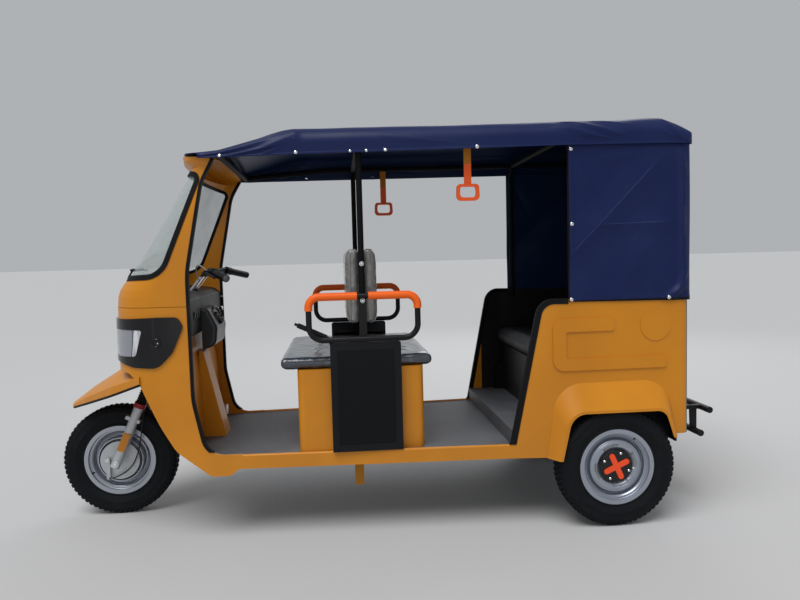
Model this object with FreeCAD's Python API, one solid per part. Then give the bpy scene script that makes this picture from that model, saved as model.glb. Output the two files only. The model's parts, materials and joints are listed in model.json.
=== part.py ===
"""Three-wheeled passenger rickshaw with a canvas roof, built as separate named pieces.

Frame: +X to the rear, +Y to the vehicle's right, +Z up, millimetres.
The origin is on the ground at mid-length on the centre plane. Every station below
is measured from the front axle and is moved to that origin when a piece is saved.
"""
import FreeCAD
import Part
import math
import os
from functools import lru_cache

# Wheels
TYRE_RADIUS = 263.0
TYRE_HALF_WIDTH = 50.0
BEAD_RADIUS = 152.4
RIM_FLANGE_RADIUS = 167.0
RIM_HALF_WIDTH = 36.0
RIM_WALL = 4.0
WELL_DEPTH = 16.0
WHEELBASE = 2263.0
HALF_TRACK = 511.0
AXLE_HEIGHT = TYRE_RADIUS
AXLE_TUBE = 64.0
SPINDLE_DIAMETER = 30.0
SPRING_LEAVES = 3
SPRING_LEAF = 8.0
RUNNING_CLEARANCE = 0.05
SEAT_CLEARANCE = 0.3

# Steering
RAKE = 24.0
FORK_HALF_SPACING = 95.0
SLIDER_DIAMETER = 44.0
STANCHION_DIAMETER = 30.0
FRONT_AXLE_DIAMETER = 15.0
SLIDER_LENGTH = 290.0
CROWN_HEIGHT = 640.0
STEERER_DIAMETER = 32.0
HEAD_TUBE_DIAMETER = 52.0
HEAD_LOW = 672.0
HEAD_HIGH = 830.0
DASH_TOP = 1066.0
BAR_RISE = 84.0
BAR_HEIGHT = DASH_TOP + BAR_RISE
DASH_FACE = 430.0
POD_HALF = 130.0
STEM_LENGTH = 115.0
STEERER_TOP = BAR_HEIGHT - STEM_LENGTH
BAR_STATION = 436.0
BAR_DIAMETER = 24.0
BAR_HALF_SPAN = 330.0
BAR_KNEE_HALF = 181.5
BAR_SWEEP = 150.0
GRIP_DIAMETER = 34.0
GRIP_LENGTH = 125.0
SWITCH_BLOCK_DIAMETER = 40.0
SWITCH_BLOCK_LENGTH = 34.0
LEVER_STAND = 38.0
LEVER_DIAMETER = 11.0
CROWN_TUBE = 46.0
BOOT_COLLAR_RADIUS = 27.0
BOOT_COLLAR_HEIGHT = 22.0
BOOT_RIB_RADIUS = 24.0
BOOT_VALLEY_RADIUS = 19.0
BOOT_RIBS = 6
LUG_DISTANCE = 226.0
DRUM_RADIUS = 108.0
DRUM_PLATE_RADIUS = 92.0
DRUM_PLATE_FACE = 42.0
CAM_STATION = -52.0
CAM_LEVER_LENGTH = 85.0
CABLE_SIDE = 62.0
CABLE_DIAMETER = 6.0

# Sides: half width of the sills against the station
SIDE_WIDTH_AT_AXLE = 396.0
SIDE_TAPER = 0.0523
WALL = 14.0
SILL_TOP = 370.0
SILL_BOTTOM = 308.0
SILL_DEPTH = 18.0
CAB_SILL_JOINT = 640.0
QUARTER_FRONT = 1800.0
CHASSIS_RAIL_OUTER = 330.0
CHASSIS_RAIL_INNER = 280.0
FLOOR_TOP = 362.0
FLOOR_THICKNESS = 12.0
REAR_STEP_STATION = 1815.0
REAR_DECK_TOP = 430.0

# Cab
CAB_BACK = 700.0
CAB_SEAM = 1018.0
SEAM_GAP = 2.0
DOOR_EDGE = 438.0
CAB_CORNER = 200.0
CAB_BOW = 924.0
CAB_HALF = 411.0

# Rear body
REAR_HALF = 514.0
REAR_FACE = 2620.0
REAR_CORNER = 45.0
QUARTER_WALL = 12.0
QUARTER_TOP_FRONT = 1005.0
QUARTER_TOP_REAR = 988.0
FLARE_HALF = 576.0
FLARE_LIP = 14.0
EMBOSS = 6.0
PLATE_SPACING = 120.0
PLATE_HEIGHT = 560.0
PLATE_HOLE = 7.0
TRIM_WIDTH = 20.0
TRIM_THICKNESS = 3.0

# Canopy
CANVAS = 6.0
CANOPY_FRONT = 392.0
CANOPY_SIDE_FRONT = 2065.0
CANOPY_REAR = REAR_FACE + SEAT_CLEARANCE + CANVAS
POST_STATION = 1175.0
POST_HALF = 444.0
POST_DIAMETER = 26.0
POST_TOP = 1690.0
FRAME_TUBE = 26.0

# Seats
SEAT_BOX_FRONT = 884.0
SEAT_BOX_REAR = 1436.0
SEAT_BOX_HALF = 424.0
SEAT_BOX_TOP = 726.0
CUSHION_FRONT = 803.0
CUSHION_REAR = 1487.0
CUSHION_HALF = 430.0
CUSHION_THICKNESS = 54.0
PAD_LOW = 906.0
PAD_HIGH = 1256.0
PAD_HALF = 380.0
PAD_THICKNESS = 58.0
PAD_BOARD = 14.0
BENCH_FRONT = 2010.0
BENCH_REAR = 2560.0
BENCH_TOP = 690.0
BENCH_HALF = 438.0
BENCH_CUSHION = 90.0

# Rails
RAIL_TUBE = 25.0
RAIL_HALF = POST_HALF + (POST_DIAMETER + RAIL_TUBE) / 2
RAIL_GRIP = 34.0
RAIL_FRONT = 932.0
RAIL_REAR = 1423.0
RAIL_LOW = 858.0
RAIL_HIGH = 1043.0
RAIL_HIGH_BEND = 45.0
GRIP_LOW = 985.0

# Bumper
BUMPER_TUBE = 30.0
BUMPER_STATION = 2777.0
BUMPER_HEIGHT = 456.0
BUMPER_HALF = 400.0
BUMPER_BRACKET = 330.0

# Handbrake, on the left face of the seat box
BRAKE_PIVOT_STATION = 1110.0
BRAKE_PIVOT_HEIGHT = 696.0
BRAKE_SIDE = 441.0
BRAKE_GRIP_DIAMETER = 22.0

# Rear wheel hub
HUB_PLATE_RADIUS = 73.0
HUB_ARM_REACH = 61.0
HUB_ARM_WIDTH = 24.0
HUB_ARM_HEIGHT = 5.0
HUB_ARM_ANGLE = 24.0
HUB_ARMS = 4
RECESS_RADIUS = 93.0
RECESS_WIDTH = 15.0
RECESS_SPAN = 58.0

FRONT_END = -TYRE_RADIUS
REAR_END = BUMPER_STATION + BUMPER_TUBE / 2
MID_STATION = (FRONT_END + REAR_END) / 2

rake = math.radians(RAKE)
UP_STEER = FreeCAD.Vector(math.sin(rake), 0, math.cos(rake))
AXLE_POINT = FreeCAD.Vector(0, 0, AXLE_HEIGHT)


def vec(x, y, z):
    return FreeCAD.Vector(x, y, z)


def in_side(y):
    """Side view plane: u is the station, v the height."""
    def put(u, v):
        return vec(u, y, v)
    return put


def in_plan(z):
    """Plan plane: u is the station, v the distance to the right."""
    def put(u, v):
        return vec(u, v, z)
    return put


def in_depth(x):
    """Cross-section plane: u is the height, v the distance to the right."""
    def put(u, v):
        return vec(x, v, u)
    return put


def about_axle(centre, side):
    """Half plane through an axle: u is the radius, v the offset outwards."""
    def put(u, v):
        return vec(centre.x + u, centre.y + side * v, centre.z)
    return put


def rounded(rows, put):
    """Closed wire through rows of (u, v, corner radius)."""
    corners = []
    count = len(rows)
    for i in range(count):
        u, v, radius = rows[i]
        before = rows[i - 1]
        after = rows[(i + 1) % count]
        a = math.hypot(before[0] - u, before[1] - v)
        b = math.hypot(after[0] - u, after[1] - v)
        ua, va = (before[0] - u) / a, (before[1] - v) / a
        ub, vb = (after[0] - u) / b, (after[1] - v) / b
        half_angle = math.acos(max(-1.0, min(1.0, ua * ub + va * vb))) / 2
        if radius <= 0:
            corners.append((put(u, v), None, put(u, v)))
            continue
        reach = radius / math.tan(half_angle)
        bu, bv = ua + ub, va + vb
        size = math.hypot(bu, bv)
        centre_distance = radius / math.sin(half_angle)
        mu = u + bu / size * (centre_distance - radius)
        mv = v + bv / size * (centre_distance - radius)
        corners.append((put(u + ua * reach, v + va * reach), put(mu, mv),
                        put(u + ub * reach, v + vb * reach)))
    edges = []
    for i in range(count):
        start, middle, end = corners[i]
        if middle is not None:
            edges.append(Part.Arc(start, middle, end).toShape())
        following = corners[(i + 1) % count][0]
        if (following - end).Length > 1e-6:
            edges.append(Part.LineSegment(end, following).toShape())
    return Part.Wire(edges)


def side_prism(rows, y_from, y_to, grow=0.0):
    """Solid of a side view outline between two distances to the right."""
    face = Part.Face(rounded(rows, in_side(y_from)))
    if grow:
        face = face.makeOffset2D(grow)
    return face.extrude(vec(0, y_to - y_from, 0))


def plan_prism(rows, z_from, z_to):
    return Part.Face(rounded(rows, in_plan(z_from))).extrude(vec(0, 0, z_to - z_from))


def box(x0, x1, y0, y1, z0, z1):
    return Part.makeBox(x1 - x0, y1 - y0, z1 - z0, vec(x0, y0, z0))


def rod(start, end, diameter):
    return Part.makeCylinder(diameter / 2, (end - start).Length, start, end - start)


def bent_tube(points, diameter, bend=None):
    """Round bar along straight runs joined by tangent arcs, as large as the runs allow without a bend."""
    edges = []
    start = points[0]
    for i in range(1, len(points) - 1):
        corner = points[i]
        to_before = (points[i - 1] - corner).normalize()
        to_after = (points[i + 1] - corner).normalize()
        half_angle = to_before.getAngle(to_after) / 2
        shorter = min((points[i - 1] - corner).Length, (points[i + 1] - corner).Length)
        radius = bend or 0.45 * shorter * math.tan(half_angle)
        reach = radius / math.tan(half_angle)
        inward = (to_before + to_after).normalize()
        middle = corner + inward * (radius / math.sin(half_angle) - radius)
        arc_start = corner + to_before * reach
        arc_end = corner + to_after * reach
        edges.append(Part.LineSegment(start, arc_start).toShape())
        edges.append(Part.Arc(arc_start, middle, arc_end).toShape())
        start = arc_end
    edges.append(Part.LineSegment(start, points[-1]).toShape())
    path = Part.Wire(edges)
    circle = Part.Circle(points[0], points[1] - points[0], diameter / 2)
    profile = Part.Wire([circle.toShape()])
    return path.makePipeShell([profile], True, True)


def turned(rows, centre, side):
    """Solid of revolution about an axle. Rows are (radius, offset outwards, corner radius)."""
    face = Part.Face(rounded(rows, about_axle(centre, side)))
    return sound(face.revolve(centre, vec(0, 1, 0), 360))


def turned_up(rows, foot):
    """Solid of revolution along the fork. Rows are (radius, distance up from the foot, corner radius)."""
    solid = sound(Part.Face(rounded(rows, in_side(0))).revolve(vec(0, 0, 0), vec(0, 0, 1), 360))
    solid.rotate(vec(0, 0, 0), vec(0, 1, 0), RAKE)
    solid.translate(foot)
    return solid


def spun(shape, centre, angle):
    """The shape turned about an axle, upwards from straight back."""
    shape = shape.copy()
    shape.rotate(centre, vec(0, 1, 0), -angle)
    return shape


def sound(solid):
    """The same solid with its faces pointing outwards."""
    return solid.reversed() if solid.Volume < 0 else solid


def mirrored(shape):
    return shape.mirror(vec(0, 0, 0), vec(0, 1, 0))


def both_sides(shape):
    return Part.makeCompound([shape, mirrored(shape)])


def joined(shapes):
    return shapes[0].multiFuse(shapes[1:]).removeSplitter()


def side_half(station):
    """Half width of the sills at a station."""
    return SIDE_WIDTH_AT_AXLE + SIDE_TAPER * station


def hood_wire(put, apex, base, half, corner, bow, taper=0.0):
    """Horseshoe outline: a bowed front, two round corners, straight sides down to the base."""
    way = 1.0 if base > apex else -1.0
    side = half - corner
    reach = bow - corner
    depth = math.sqrt(reach * reach - side * side)
    corner_depth = apex + way * (bow - depth)
    scale = bow / reach
    tangent_depth = apex + way * (bow - depth * scale)
    tangent_side = side * scale
    middle = math.atan2(depth, side) / 2
    middle_depth = corner_depth - way * corner * math.sin(middle)
    middle_side = side + corner * math.cos(middle)
    base_half = half + taper * abs(base - corner_depth)
    left = [put(tangent_depth, -tangent_side), put(middle_depth, -middle_side),
            put(corner_depth, -half), put(base, -base_half)]
    right = [put(tangent_depth, tangent_side), put(middle_depth, middle_side),
             put(corner_depth, half), put(base, base_half)]
    return Part.Wire([
        Part.Arc(left[0], put(apex, 0), right[0]).toShape(),
        Part.Arc(right[0], right[1], right[2]).toShape(),
        Part.LineSegment(right[2], right[3]).toShape(),
        Part.LineSegment(right[3], left[3]).toShape(),
        Part.LineSegment(left[3], left[2]).toShape(),
        Part.Arc(left[2], left[1], left[0]).toShape()])


# Cab sections: (height, front at the centre, corner radius, front bow)
LOWER_CAB = [
    (262.0, 64.0, CAB_CORNER, CAB_BOW),
    (850.0, 58.0, CAB_CORNER, CAB_BOW),
    (CAB_SEAM, 62.0, CAB_CORNER, CAB_BOW)]
UPPER_CAB = [
    (CAB_SEAM, 62.0, CAB_CORNER, CAB_BOW),
    (1060.0, 66.0, CAB_CORNER, CAB_BOW),
    (1092.0, 77.0, CAB_CORNER, CAB_BOW),
    (1118.0, 95.0, CAB_CORNER, CAB_BOW),
    (1140.0, 114.0, 198.0, CAB_BOW),
    (1612.0, 421.0, 130.0, 1300.0),
    (1626.0, 398.0, 140.0, 1200.0),
    (1640.0, 384.0, 145.0, 1150.0),
    (1668.0, 380.0, 145.0, 1150.0),
    (1700.0, 392.0, 140.0, 1150.0)]
ROOF_SKIN = 16.0
CAB_TOP = 1682.0
CAB_TOP_BOW = 2400.0

# Side outlines: (station, height, corner radius)
DOORWAY = [
    (900.0, SILL_TOP, 0), (490.0, SILL_TOP, 90), (441.0, 610.0, 300), (DOOR_EDGE, 1160.0, 400),
    (512.0, 1545.0, 200), (566.0, 1640.0, 60), (576.0, 1760.0, 0), (900.0, 1760.0, 0)]
WHEEL_OPENING = [
    (-200.0, 736.0, 0), (165.0, 736.0, 40), (213.0, 690.0, 60), (300.0, 497.0, 600),
    (360.0, 392.0, 150), (470.0, 305.0, 60), (505.0, 279.0, 30), (585.0, 279.0, 30),
    (622.0, SILL_BOTTOM, 30), (720.0, SILL_BOTTOM, 0), (720.0, 200.0, 0), (-200.0, 200.0, 0)]
SCREEN = [
    (-100.0, 1128.0, 0), (330.0, 1143.0, 110), (508.0, 1574.0, 30), (395.0, 1610.0, 0),
    (-100.0, 1610.0, 0)]
LAMP_PANEL = [
    (-60.0, 962.0, 0), (300.0, 975.0, 0), (392.0, 974.0, 30), (413.0, 934.0, 20),
    (364.0, 822.0, 80), (300.0, 757.0, 60), (190.0, 763.0, 60), (110.0, 784.0, 0), (-60.0, 784.0, 0)]
LAMP_LENS = [
    (-60.0, 927.0, 0), (238.0, 922.0, 8), (206.0, 811.0, 14), (150.0, 808.0, 0), (-60.0, 808.0, 0)]
LAMP_INNER_EDGE = 190.0
LENS_INNER_EDGE = 232.0
LAMP_STAND = 8.0
ARCH = [
    (2014.0, 240.0, 0), (2014.0, SILL_BOTTOM, 0), (2062.0, 508.0, 75), (2468.0, 507.0, 48),
    (2512.0, 388.0, 20), (2560.0, 388.0, 0), (2560.0, 240.0, 0)]
FLARE_FOOT = [
    (1952.0, 240.0, 0), (2008.0, 632.0, 130), (2502.0, 636.0, 130), (2588.0, 240.0, 0)]
FLARE_RIM = [(1984.0, 240.0, 0), (2048.0, 522.0, 88), (2482.0, 521.0, 62), (2572.0, 240.0, 0)]
QUARTER = [
    (QUARTER_FRONT, SILL_BOTTOM, 0), (QUARTER_FRONT, SILL_TOP, 0), (1809.0, SILL_TOP, 0),
    (1938.0, QUARTER_TOP_FRONT, 78), (REAR_FACE + 20, QUARTER_TOP_REAR, 0),
    (REAR_FACE + 20, 388.0, 0), (2263.0, 388.0, 0), (2263.0, SILL_BOTTOM, 0)]
C_RIB = [
    (1992.0, 918.0, 48), (2266.0, 918.0, 14), (2266.0, 860.0, 14), (2050.0, 860.0, 10),
    (2050.0, 742.0, 10), (2503.0, 742.0, 14), (2503.0, 690.0, 14), (1992.0, 690.0, 48)]
ROUND_RIB = (2457.0, 879.0, 70.0)

# Roof sections: (station, crown height, skirt's lower edge, half width, shoulder radius, bow)
ROOF = [
    (CANOPY_FRONT, 1689.0, 1638.0, 428.0, 12.0, 2400.0),
    (590.0, 1711.0, 1636.0, 448.0, 20.0, 2400.0),
    (900.0, 1800.0, 1642.0, 470.0, 72.0, 1950.0),
    (2065.0, 1824.0, 1660.0, 526.0, 72.0, 1950.0),
    (2500.0, 1836.0, 1664.0, 526.0, 72.0, 1950.0),
    (2565.0, 1800.0, 1664.0, 526.0, 60.0, 2400.0),
    (CANOPY_REAR + CANVAS, 1740.0, 1664.0, 524.0, 30.0, 4000.0)]


def cab_loft(rows, inset):
    """Solid between cab sections, moved in by an inset."""
    wires = []
    for height, front, corner, bow in rows:
        wires.append(hood_wire(in_plan(height), front + inset, CAB_BACK + 40 * (inset > 0),
                               CAB_HALF - inset, corner - inset, bow - inset, SIDE_TAPER))
    return sound(Part.makeLoft(wires, True, True))


def cab_skin(rows, outer, inner):
    return cab_loft(rows, outer).cut(cab_loft(rows, inner))


WIDE = 700.0


@lru_cache(maxsize=None)
def upper_cab(inset, drop):
    """Solid of the upper cab, moved in by an inset, under its bowed top lowered by a drop."""
    top = CAB_TOP - drop
    edge = top - CAB_TOP_BOW + math.sqrt(CAB_TOP_BOW ** 2 - WIDE ** 2)
    outline = Part.Wire([
        Part.Arc(vec(-100, -WIDE, edge), vec(-100, 0, top), vec(-100, WIDE, edge)).toShape(),
        Part.LineSegment(vec(-100, WIDE, edge), vec(-100, WIDE, 900)).toShape(),
        Part.LineSegment(vec(-100, WIDE, 900), vec(-100, -WIDE, 900)).toShape(),
        Part.LineSegment(vec(-100, -WIDE, 900), vec(-100, -WIDE, edge)).toShape()])
    return cab_loft(UPPER_CAB, inset).common(Part.Face(outline).extrude(vec(1100, 0, 0)))


@lru_cache(maxsize=None)
def make_nose():
    shell = cab_skin(LOWER_CAB, 0, WALL)
    shell = shell.cut(side_prism(DOORWAY, -WIDE, WIDE))
    shell = shell.cut(side_prism(WHEEL_OPENING, -WIDE, WIDE))
    shell = shell.cut(box(CAB_SILL_JOINT, 900, -WIDE, WIDE, 0, 900))
    return shell.cut(box(-100, 900, -WIDE, WIDE, CAB_SEAM - SEAM_GAP, CAB_SEAM + 10))


@lru_cache(maxsize=None)
def make_surround():
    shell = upper_cab(0, 0).cut(upper_cab(WALL, ROOF_SKIN))
    shell = shell.cut(side_prism(DOORWAY, -WIDE, WIDE))
    return shell.cut(side_prism(SCREEN, -WIDE, WIDE))


@lru_cache(maxsize=None)
def make_screen_glass():
    skin = cab_skin(UPPER_CAB, 4, 9)
    return skin.common(side_prism(SCREEN, -WIDE, WIDE, -10))


def make_screen_seal():
    band = side_prism(SCREEN, -WIDE, WIDE, 6).cut(side_prism(SCREEN, -WIDE, WIDE, -16))
    seal = cab_skin(UPPER_CAB, -3, 12).common(band).cut(box(-200, 60, -WIDE, WIDE, 0, 2000))
    return seal.cut(make_surround()).cut(make_screen_glass())


def make_lamp_panels():
    side = side_prism(LAMP_PANEL, -WIDE, -LAMP_INNER_EDGE)
    lens = side_prism(LAMP_LENS, -WIDE, -LENS_INNER_EDGE)
    return both_sides(cab_skin(LOWER_CAB, -LAMP_STAND, 0).common(side).cut(lens))


def make_lamp_lenses():
    lens = side_prism(LAMP_LENS, -WIDE, -LENS_INNER_EDGE)
    return both_sides(cab_skin(LOWER_CAB, 2 - LAMP_STAND, 0).common(lens))


# Mudguard sections: (station, half width, lower edge, side top, crown)
MUDGUARD = [
    (-200.0, 46.0, 530.0, 545.0, 556.0),
    (-100.0, 150.0, 566.0, 596.0, 628.0),
    (60.0, 296.0, 625.0, 664.0, 726.0),
    (216.0, 405.0, 686.0, 722.0, 756.0)]


def mudguard_loft(inset, fall):
    wires = []
    for station, half, low, side_top, crown in MUDGUARD:
        h = half - inset
        wires.append(Part.Wire([
            Part.LineSegment(vec(station, -h, low - fall), vec(station, -h, side_top - inset)).toShape(),
            Part.Arc(vec(station, -h, side_top - inset), vec(station, 0, crown - inset),
                     vec(station, h, side_top - inset)).toShape(),
            Part.LineSegment(vec(station, h, side_top - inset), vec(station, h, low - fall)).toShape(),
            Part.LineSegment(vec(station, h, low - fall), vec(station, -h, low - fall)).toShape()]))
    return sound(Part.makeLoft(wires, True, True))


def make_mudguard():
    hollow = mudguard_loft(6, 30).cut(box(-260, -190, -100, 100, 400, 700))
    shell = mudguard_loft(0, 0).cut(hollow)
    nose = cab_loft(LOWER_CAB, 0).cut(side_prism(WHEEL_OPENING, -WIDE, WIDE))
    return shell.cut(nose)


@lru_cache(maxsize=None)
def make_bulkhead():
    top = DASH_TOP - 200
    low = FLOOR_TOP - FLOOR_THICKNESS
    wall = side_prism([(372, top, 0), (382, top, 0), (405, 640, 200), (411, low, 0), (401, low, 0),
                       (395, 640, 200)], -WIDE, WIDE)
    wall = wall.common(cab_loft(LOWER_CAB, WALL))
    cover = side_prism([(398, 780, 0), (418, 780, 20), (512, FLOOR_TOP, 0), (400, FLOOR_TOP, 0)], -62, 62)
    hollow = side_prism([(380, 770, 0), (412, 770, 10), (500, FLOOR_TOP - 1, 0), (380, FLOOR_TOP - 1, 0)],
                        -54, 54)
    return joined([wall, cover.cut(hollow).cut(box(380, 600, -WIDE, WIDE, 0, FLOOR_TOP))])


def steer_point(height, y=0.0):
    """Point on the steering axis plane at a height."""
    return vec((height - AXLE_HEIGHT) * math.tan(rake), y, height)


@lru_cache(maxsize=None)
def make_dashboard():
    top = DASH_TOP
    outer = side_prism([(112, top + 42, 0), (400, top, 30), (DASH_FACE, top - 26, 20),
                        (DASH_FACE, top - 186, 30), (384, top - 208, 0), (112, top - 206, 0)], -WIDE, WIDE)
    inner = side_prism([(90, top + 34, 0), (396, top - 8, 24), (DASH_FACE - 8, top - 30, 14),
                        (DASH_FACE - 8, top - 182, 24), (384, top - 199, 0), (90, top - 199, 0)], -WIDE, WIDE)
    shell = outer.cut(inner).common(cab_loft(LOWER_CAB, WALL).fuse(cab_loft(UPPER_CAB, WALL)))
    hole = rod(steer_point(top - 166), steer_point(top + 134), STEERER_DIAMETER + 40)
    below = box(0, 380, -WIDE, WIDE, top - 266, top - 56)
    return shell.cut(hole).cut(below).cut(make_bulkhead())


def make_pod():
    rows = [(DASH_FACE, DASH_TOP - 76, 0), (DASH_FACE + 32, DASH_TOP - 81, 25),
            (DASH_FACE + 72, DASH_TOP - 166, 60), (DASH_FACE + 62, DASH_TOP - 254, 40),
            (DASH_FACE, DASH_TOP - 276, 0)]
    body = side_prism(rows, -POD_HALF, POD_HALF)
    rim = [e for e in body.Edges if e.BoundBox.XMin > DASH_FACE + 1 and e.BoundBox.YLength < 1]
    return body.makeFillet(18, rim)


def make_pedal():
    pad = box(476, 484, 120, 180, 418, 468)
    arm = bent_tube([vec(478, 150, 440), vec(440, 150, 520), vec(404, 150, 560)], 10, 15)
    return joined([pad, arm]).cut(make_bulkhead())


def make_sills():
    rows = [(CAB_SILL_JOINT, -side_half(CAB_SILL_JOINT), 0), (QUARTER_FRONT, -side_half(QUARTER_FRONT), 0),
            (QUARTER_FRONT, SILL_DEPTH - side_half(QUARTER_FRONT), 0),
            (CAB_SILL_JOINT, SILL_DEPTH - side_half(CAB_SILL_JOINT), 0)]
    bar = plan_prism(rows, SILL_BOTTOM, SILL_TOP)
    edges = [e for e in bar.Edges if e.BoundBox.XLength > 900 and e.BoundBox.ZMin > SILL_TOP - 1]
    return both_sides(bar.makeFillet(8, edges))


def make_floor():
    floor = side_prism([(411, FLOOR_TOP, 0), (REAR_STEP_STATION, FLOOR_TOP, 0),
                        (REAR_STEP_STATION, REAR_DECK_TOP, 0), (BENCH_REAR, REAR_DECK_TOP, 0),
                        (BENCH_REAR, REAR_DECK_TOP - FLOOR_THICKNESS, 0),
                        (REAR_STEP_STATION + FLOOR_THICKNESS, REAR_DECK_TOP - FLOOR_THICKNESS, 0),
                        (REAR_STEP_STATION + FLOOR_THICKNESS, FLOOR_TOP - FLOOR_THICKNESS, 0),
                        (411, FLOOR_TOP - FLOOR_THICKNESS, 0)], -WIDE, WIDE)
    front = side_half(405) - SILL_DEPTH
    joint = side_half(QUARTER_FRONT) - SILL_DEPTH
    back = side_half(1900) - SILL_DEPTH
    tub = BENCH_HALF
    plan = [(405, -front, 0), (QUARTER_FRONT, -joint, 0), (1960, -back, 0), (1960, -tub, 0), (2600, -tub, 0),
            (2600, tub, 0), (1960, tub, 0), (1960, back, 0), (QUARTER_FRONT, joint, 0), (405, front, 0)]
    return floor.common(plan_prism(plan, 0, 900))


def make_chassis():
    under = FLOOR_TOP - FLOOR_THICKNESS
    deck = REAR_DECK_TOP - FLOOR_THICKNESS
    kick = REAR_STEP_STATION + FLOOR_THICKNESS
    rail = side_prism([(470, under - 50, 0), (kick + 20, under - 50, 0), (kick + 90, deck - 50, 0),
                       (2600, deck - 50, 0), (2600, deck, 0), (kick, deck, 0), (kick, under, 0),
                       (470, under, 0)],
                      -CHASSIS_RAIL_OUTER, -CHASSIS_RAIL_INNER)
    hangers = [box(x, x + 25, -CHASSIS_RAIL_OUTER, -CHASSIS_RAIL_INNER, 305, deck - 20)
               for x in (WHEELBASE - 325, WHEELBASE + 300)]
    pieces = [rail, mirrored(rail)] + hangers + [mirrored(h) for h in hangers]
    for station in (480, 1150, 1780):
        pieces.append(box(station, station + 40, -400, 400, under - 45, under))
    for station in (1900, 2555):
        pieces.append(box(station, station + 40, -400, 400, deck - 45, deck))
    neck = bent_tube([steer_point(750) + vec(12, 0, 0), vec(296, 0, 690), vec(344, 0, 540),
                      vec(366, 0, under - 40), vec(520, 0, under - 40)], 48, 60)
    head = rod(steer_point(HEAD_LOW), steer_point(HEAD_HIGH), HEAD_TUBE_DIAMETER)
    bore = rod(steer_point(HEAD_LOW - 50), steer_point(HEAD_HIGH + 50),
               STEERER_DIAMETER + 2 * RUNNING_CLEARANCE)
    hanger = box(1125, 1165, -300, -270, 165, under - 45)
    return joined(pieces + [neck, head, hanger]).cut(bore)


def make_seat_box():
    h = SEAT_BOX_HALF
    rows = [(SEAT_BOX_FRONT, -h, 30), (SEAT_BOX_REAR, -h, 30), (SEAT_BOX_REAR, h, 30),
            (SEAT_BOX_FRONT, h, 30)]
    wall = 10
    inner = [(SEAT_BOX_FRONT + wall, wall - h, 20), (SEAT_BOX_REAR - wall, wall - h, 20),
             (SEAT_BOX_REAR - wall, h - wall, 20), (SEAT_BOX_FRONT + wall, h - wall, 20)]
    return plan_prism(rows, FLOOR_TOP, SEAT_BOX_TOP).cut(plan_prism(inner, FLOOR_TOP - 1,
                                                                    SEAT_BOX_TOP - wall))


def make_battery():
    return box(SEAT_BOX_FRONT + 60, SEAT_BOX_REAR - 60, -340, 340, FLOOR_TOP, FLOOR_TOP + 240)


def cushion(x0, x1, half, z0, z1, radius):
    body = box(x0, x1, -half, half, z0, z1)
    return body.makeFillet(radius, body.Edges)


def make_backrest_pads():
    front = cushion(POST_STATION - PAD_BOARD / 2 - PAD_THICKNESS,
                    POST_STATION - PAD_BOARD / 2 - SEAT_CLEARANCE, PAD_HALF, PAD_LOW, PAD_HIGH, 20)
    rear = cushion(POST_STATION + PAD_BOARD / 2 + SEAT_CLEARANCE,
                   POST_STATION + PAD_BOARD / 2 + PAD_THICKNESS, PAD_HALF, PAD_LOW, PAD_HIGH, 20)
    return Part.makeCompound([front, rear])


def make_backrest_frame():
    edge = PAD_HALF + 4
    board = box(POST_STATION - PAD_BOARD / 2, POST_STATION + PAD_BOARD / 2, -edge, edge, PAD_LOW + 20,
                PAD_HIGH - 20)
    bars = []
    for side in (-1, 1):
        for z in (PAD_LOW + 44, PAD_HIGH - 56):
            bars.append(rod(vec(POST_STATION, side * (PAD_HALF + 2), z),
                            vec(POST_STATION, side * POST_HALF, z), 25))
    frame = joined([board] + bars)
    return frame.cut(both_posts())


def one_post():
    return rod(vec(POST_STATION, -POST_HALF, SILL_TOP), vec(POST_STATION, -POST_HALF, POST_TOP),
               POST_DIAMETER)


@lru_cache(maxsize=None)
def both_posts():
    post = one_post()
    return Part.makeCompound([post, mirrored(post)])


def make_side_panels():
    rows = [(1030, SILL_TOP, 0), (1335, SILL_TOP, 0), (1335, 845, 12), (1030, 845, 12)]
    inner_face = -POST_HALF - POST_DIAMETER / 2
    plate = side_prism(rows, inner_face - 12, inner_face)
    recess = side_prism([(1058, 400, 12), (1307, 400, 12), (1307, 812, 12), (1058, 812, 12)],
                        inner_face - 13, inner_face - 8)
    return both_sides(plate.cut(recess))


@lru_cache(maxsize=None)
def make_rail():
    y = -RAIL_HALF
    r = RAIL_TUBE / 2
    rows = [(RAIL_FRONT + r, RAIL_LOW, 60), (RAIL_REAR - r, RAIL_LOW, 60),
            (RAIL_REAR - r, RAIL_HIGH, RAIL_HIGH_BEND), (RAIL_FRONT + r, RAIL_HIGH, RAIL_HIGH_BEND)]
    path = rounded(rows, in_side(y))
    start = path.Edges[0].valueAt(path.Edges[0].FirstParameter)
    tangent = path.Edges[0].tangentAt(path.Edges[0].FirstParameter)
    profile = Part.Wire([Part.Circle(start, tangent, r).toShape()])
    ring = path.makePipeShell([profile], True, True)
    inner_face = -POST_HALF - POST_DIAMETER / 2
    strap = box(POST_STATION - 16, POST_STATION + 16, inner_face - 7, inner_face, RAIL_LOW - 8, RAIL_HIGH + 8)
    return joined([ring, strap])


def make_grips():
    """Sleeves along the top of each rail and round its two corners, with a gap at the post."""
    y = -RAIL_HALF
    r = RAIL_TUBE / 2
    pieces = []
    for corner, inner in ((RAIL_FRONT + r, POST_STATION - 24), (RAIL_REAR - r, POST_STATION + 24)):
        path = [vec(corner, y, GRIP_LOW), vec(corner, y, RAIL_HIGH), vec(inner, y, RAIL_HIGH)]
        pieces.append(bent_tube(path, RAIL_GRIP, RAIL_HIGH_BEND).cut(make_rail()))
    return both_sides(Part.makeCompound(pieces))


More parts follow.
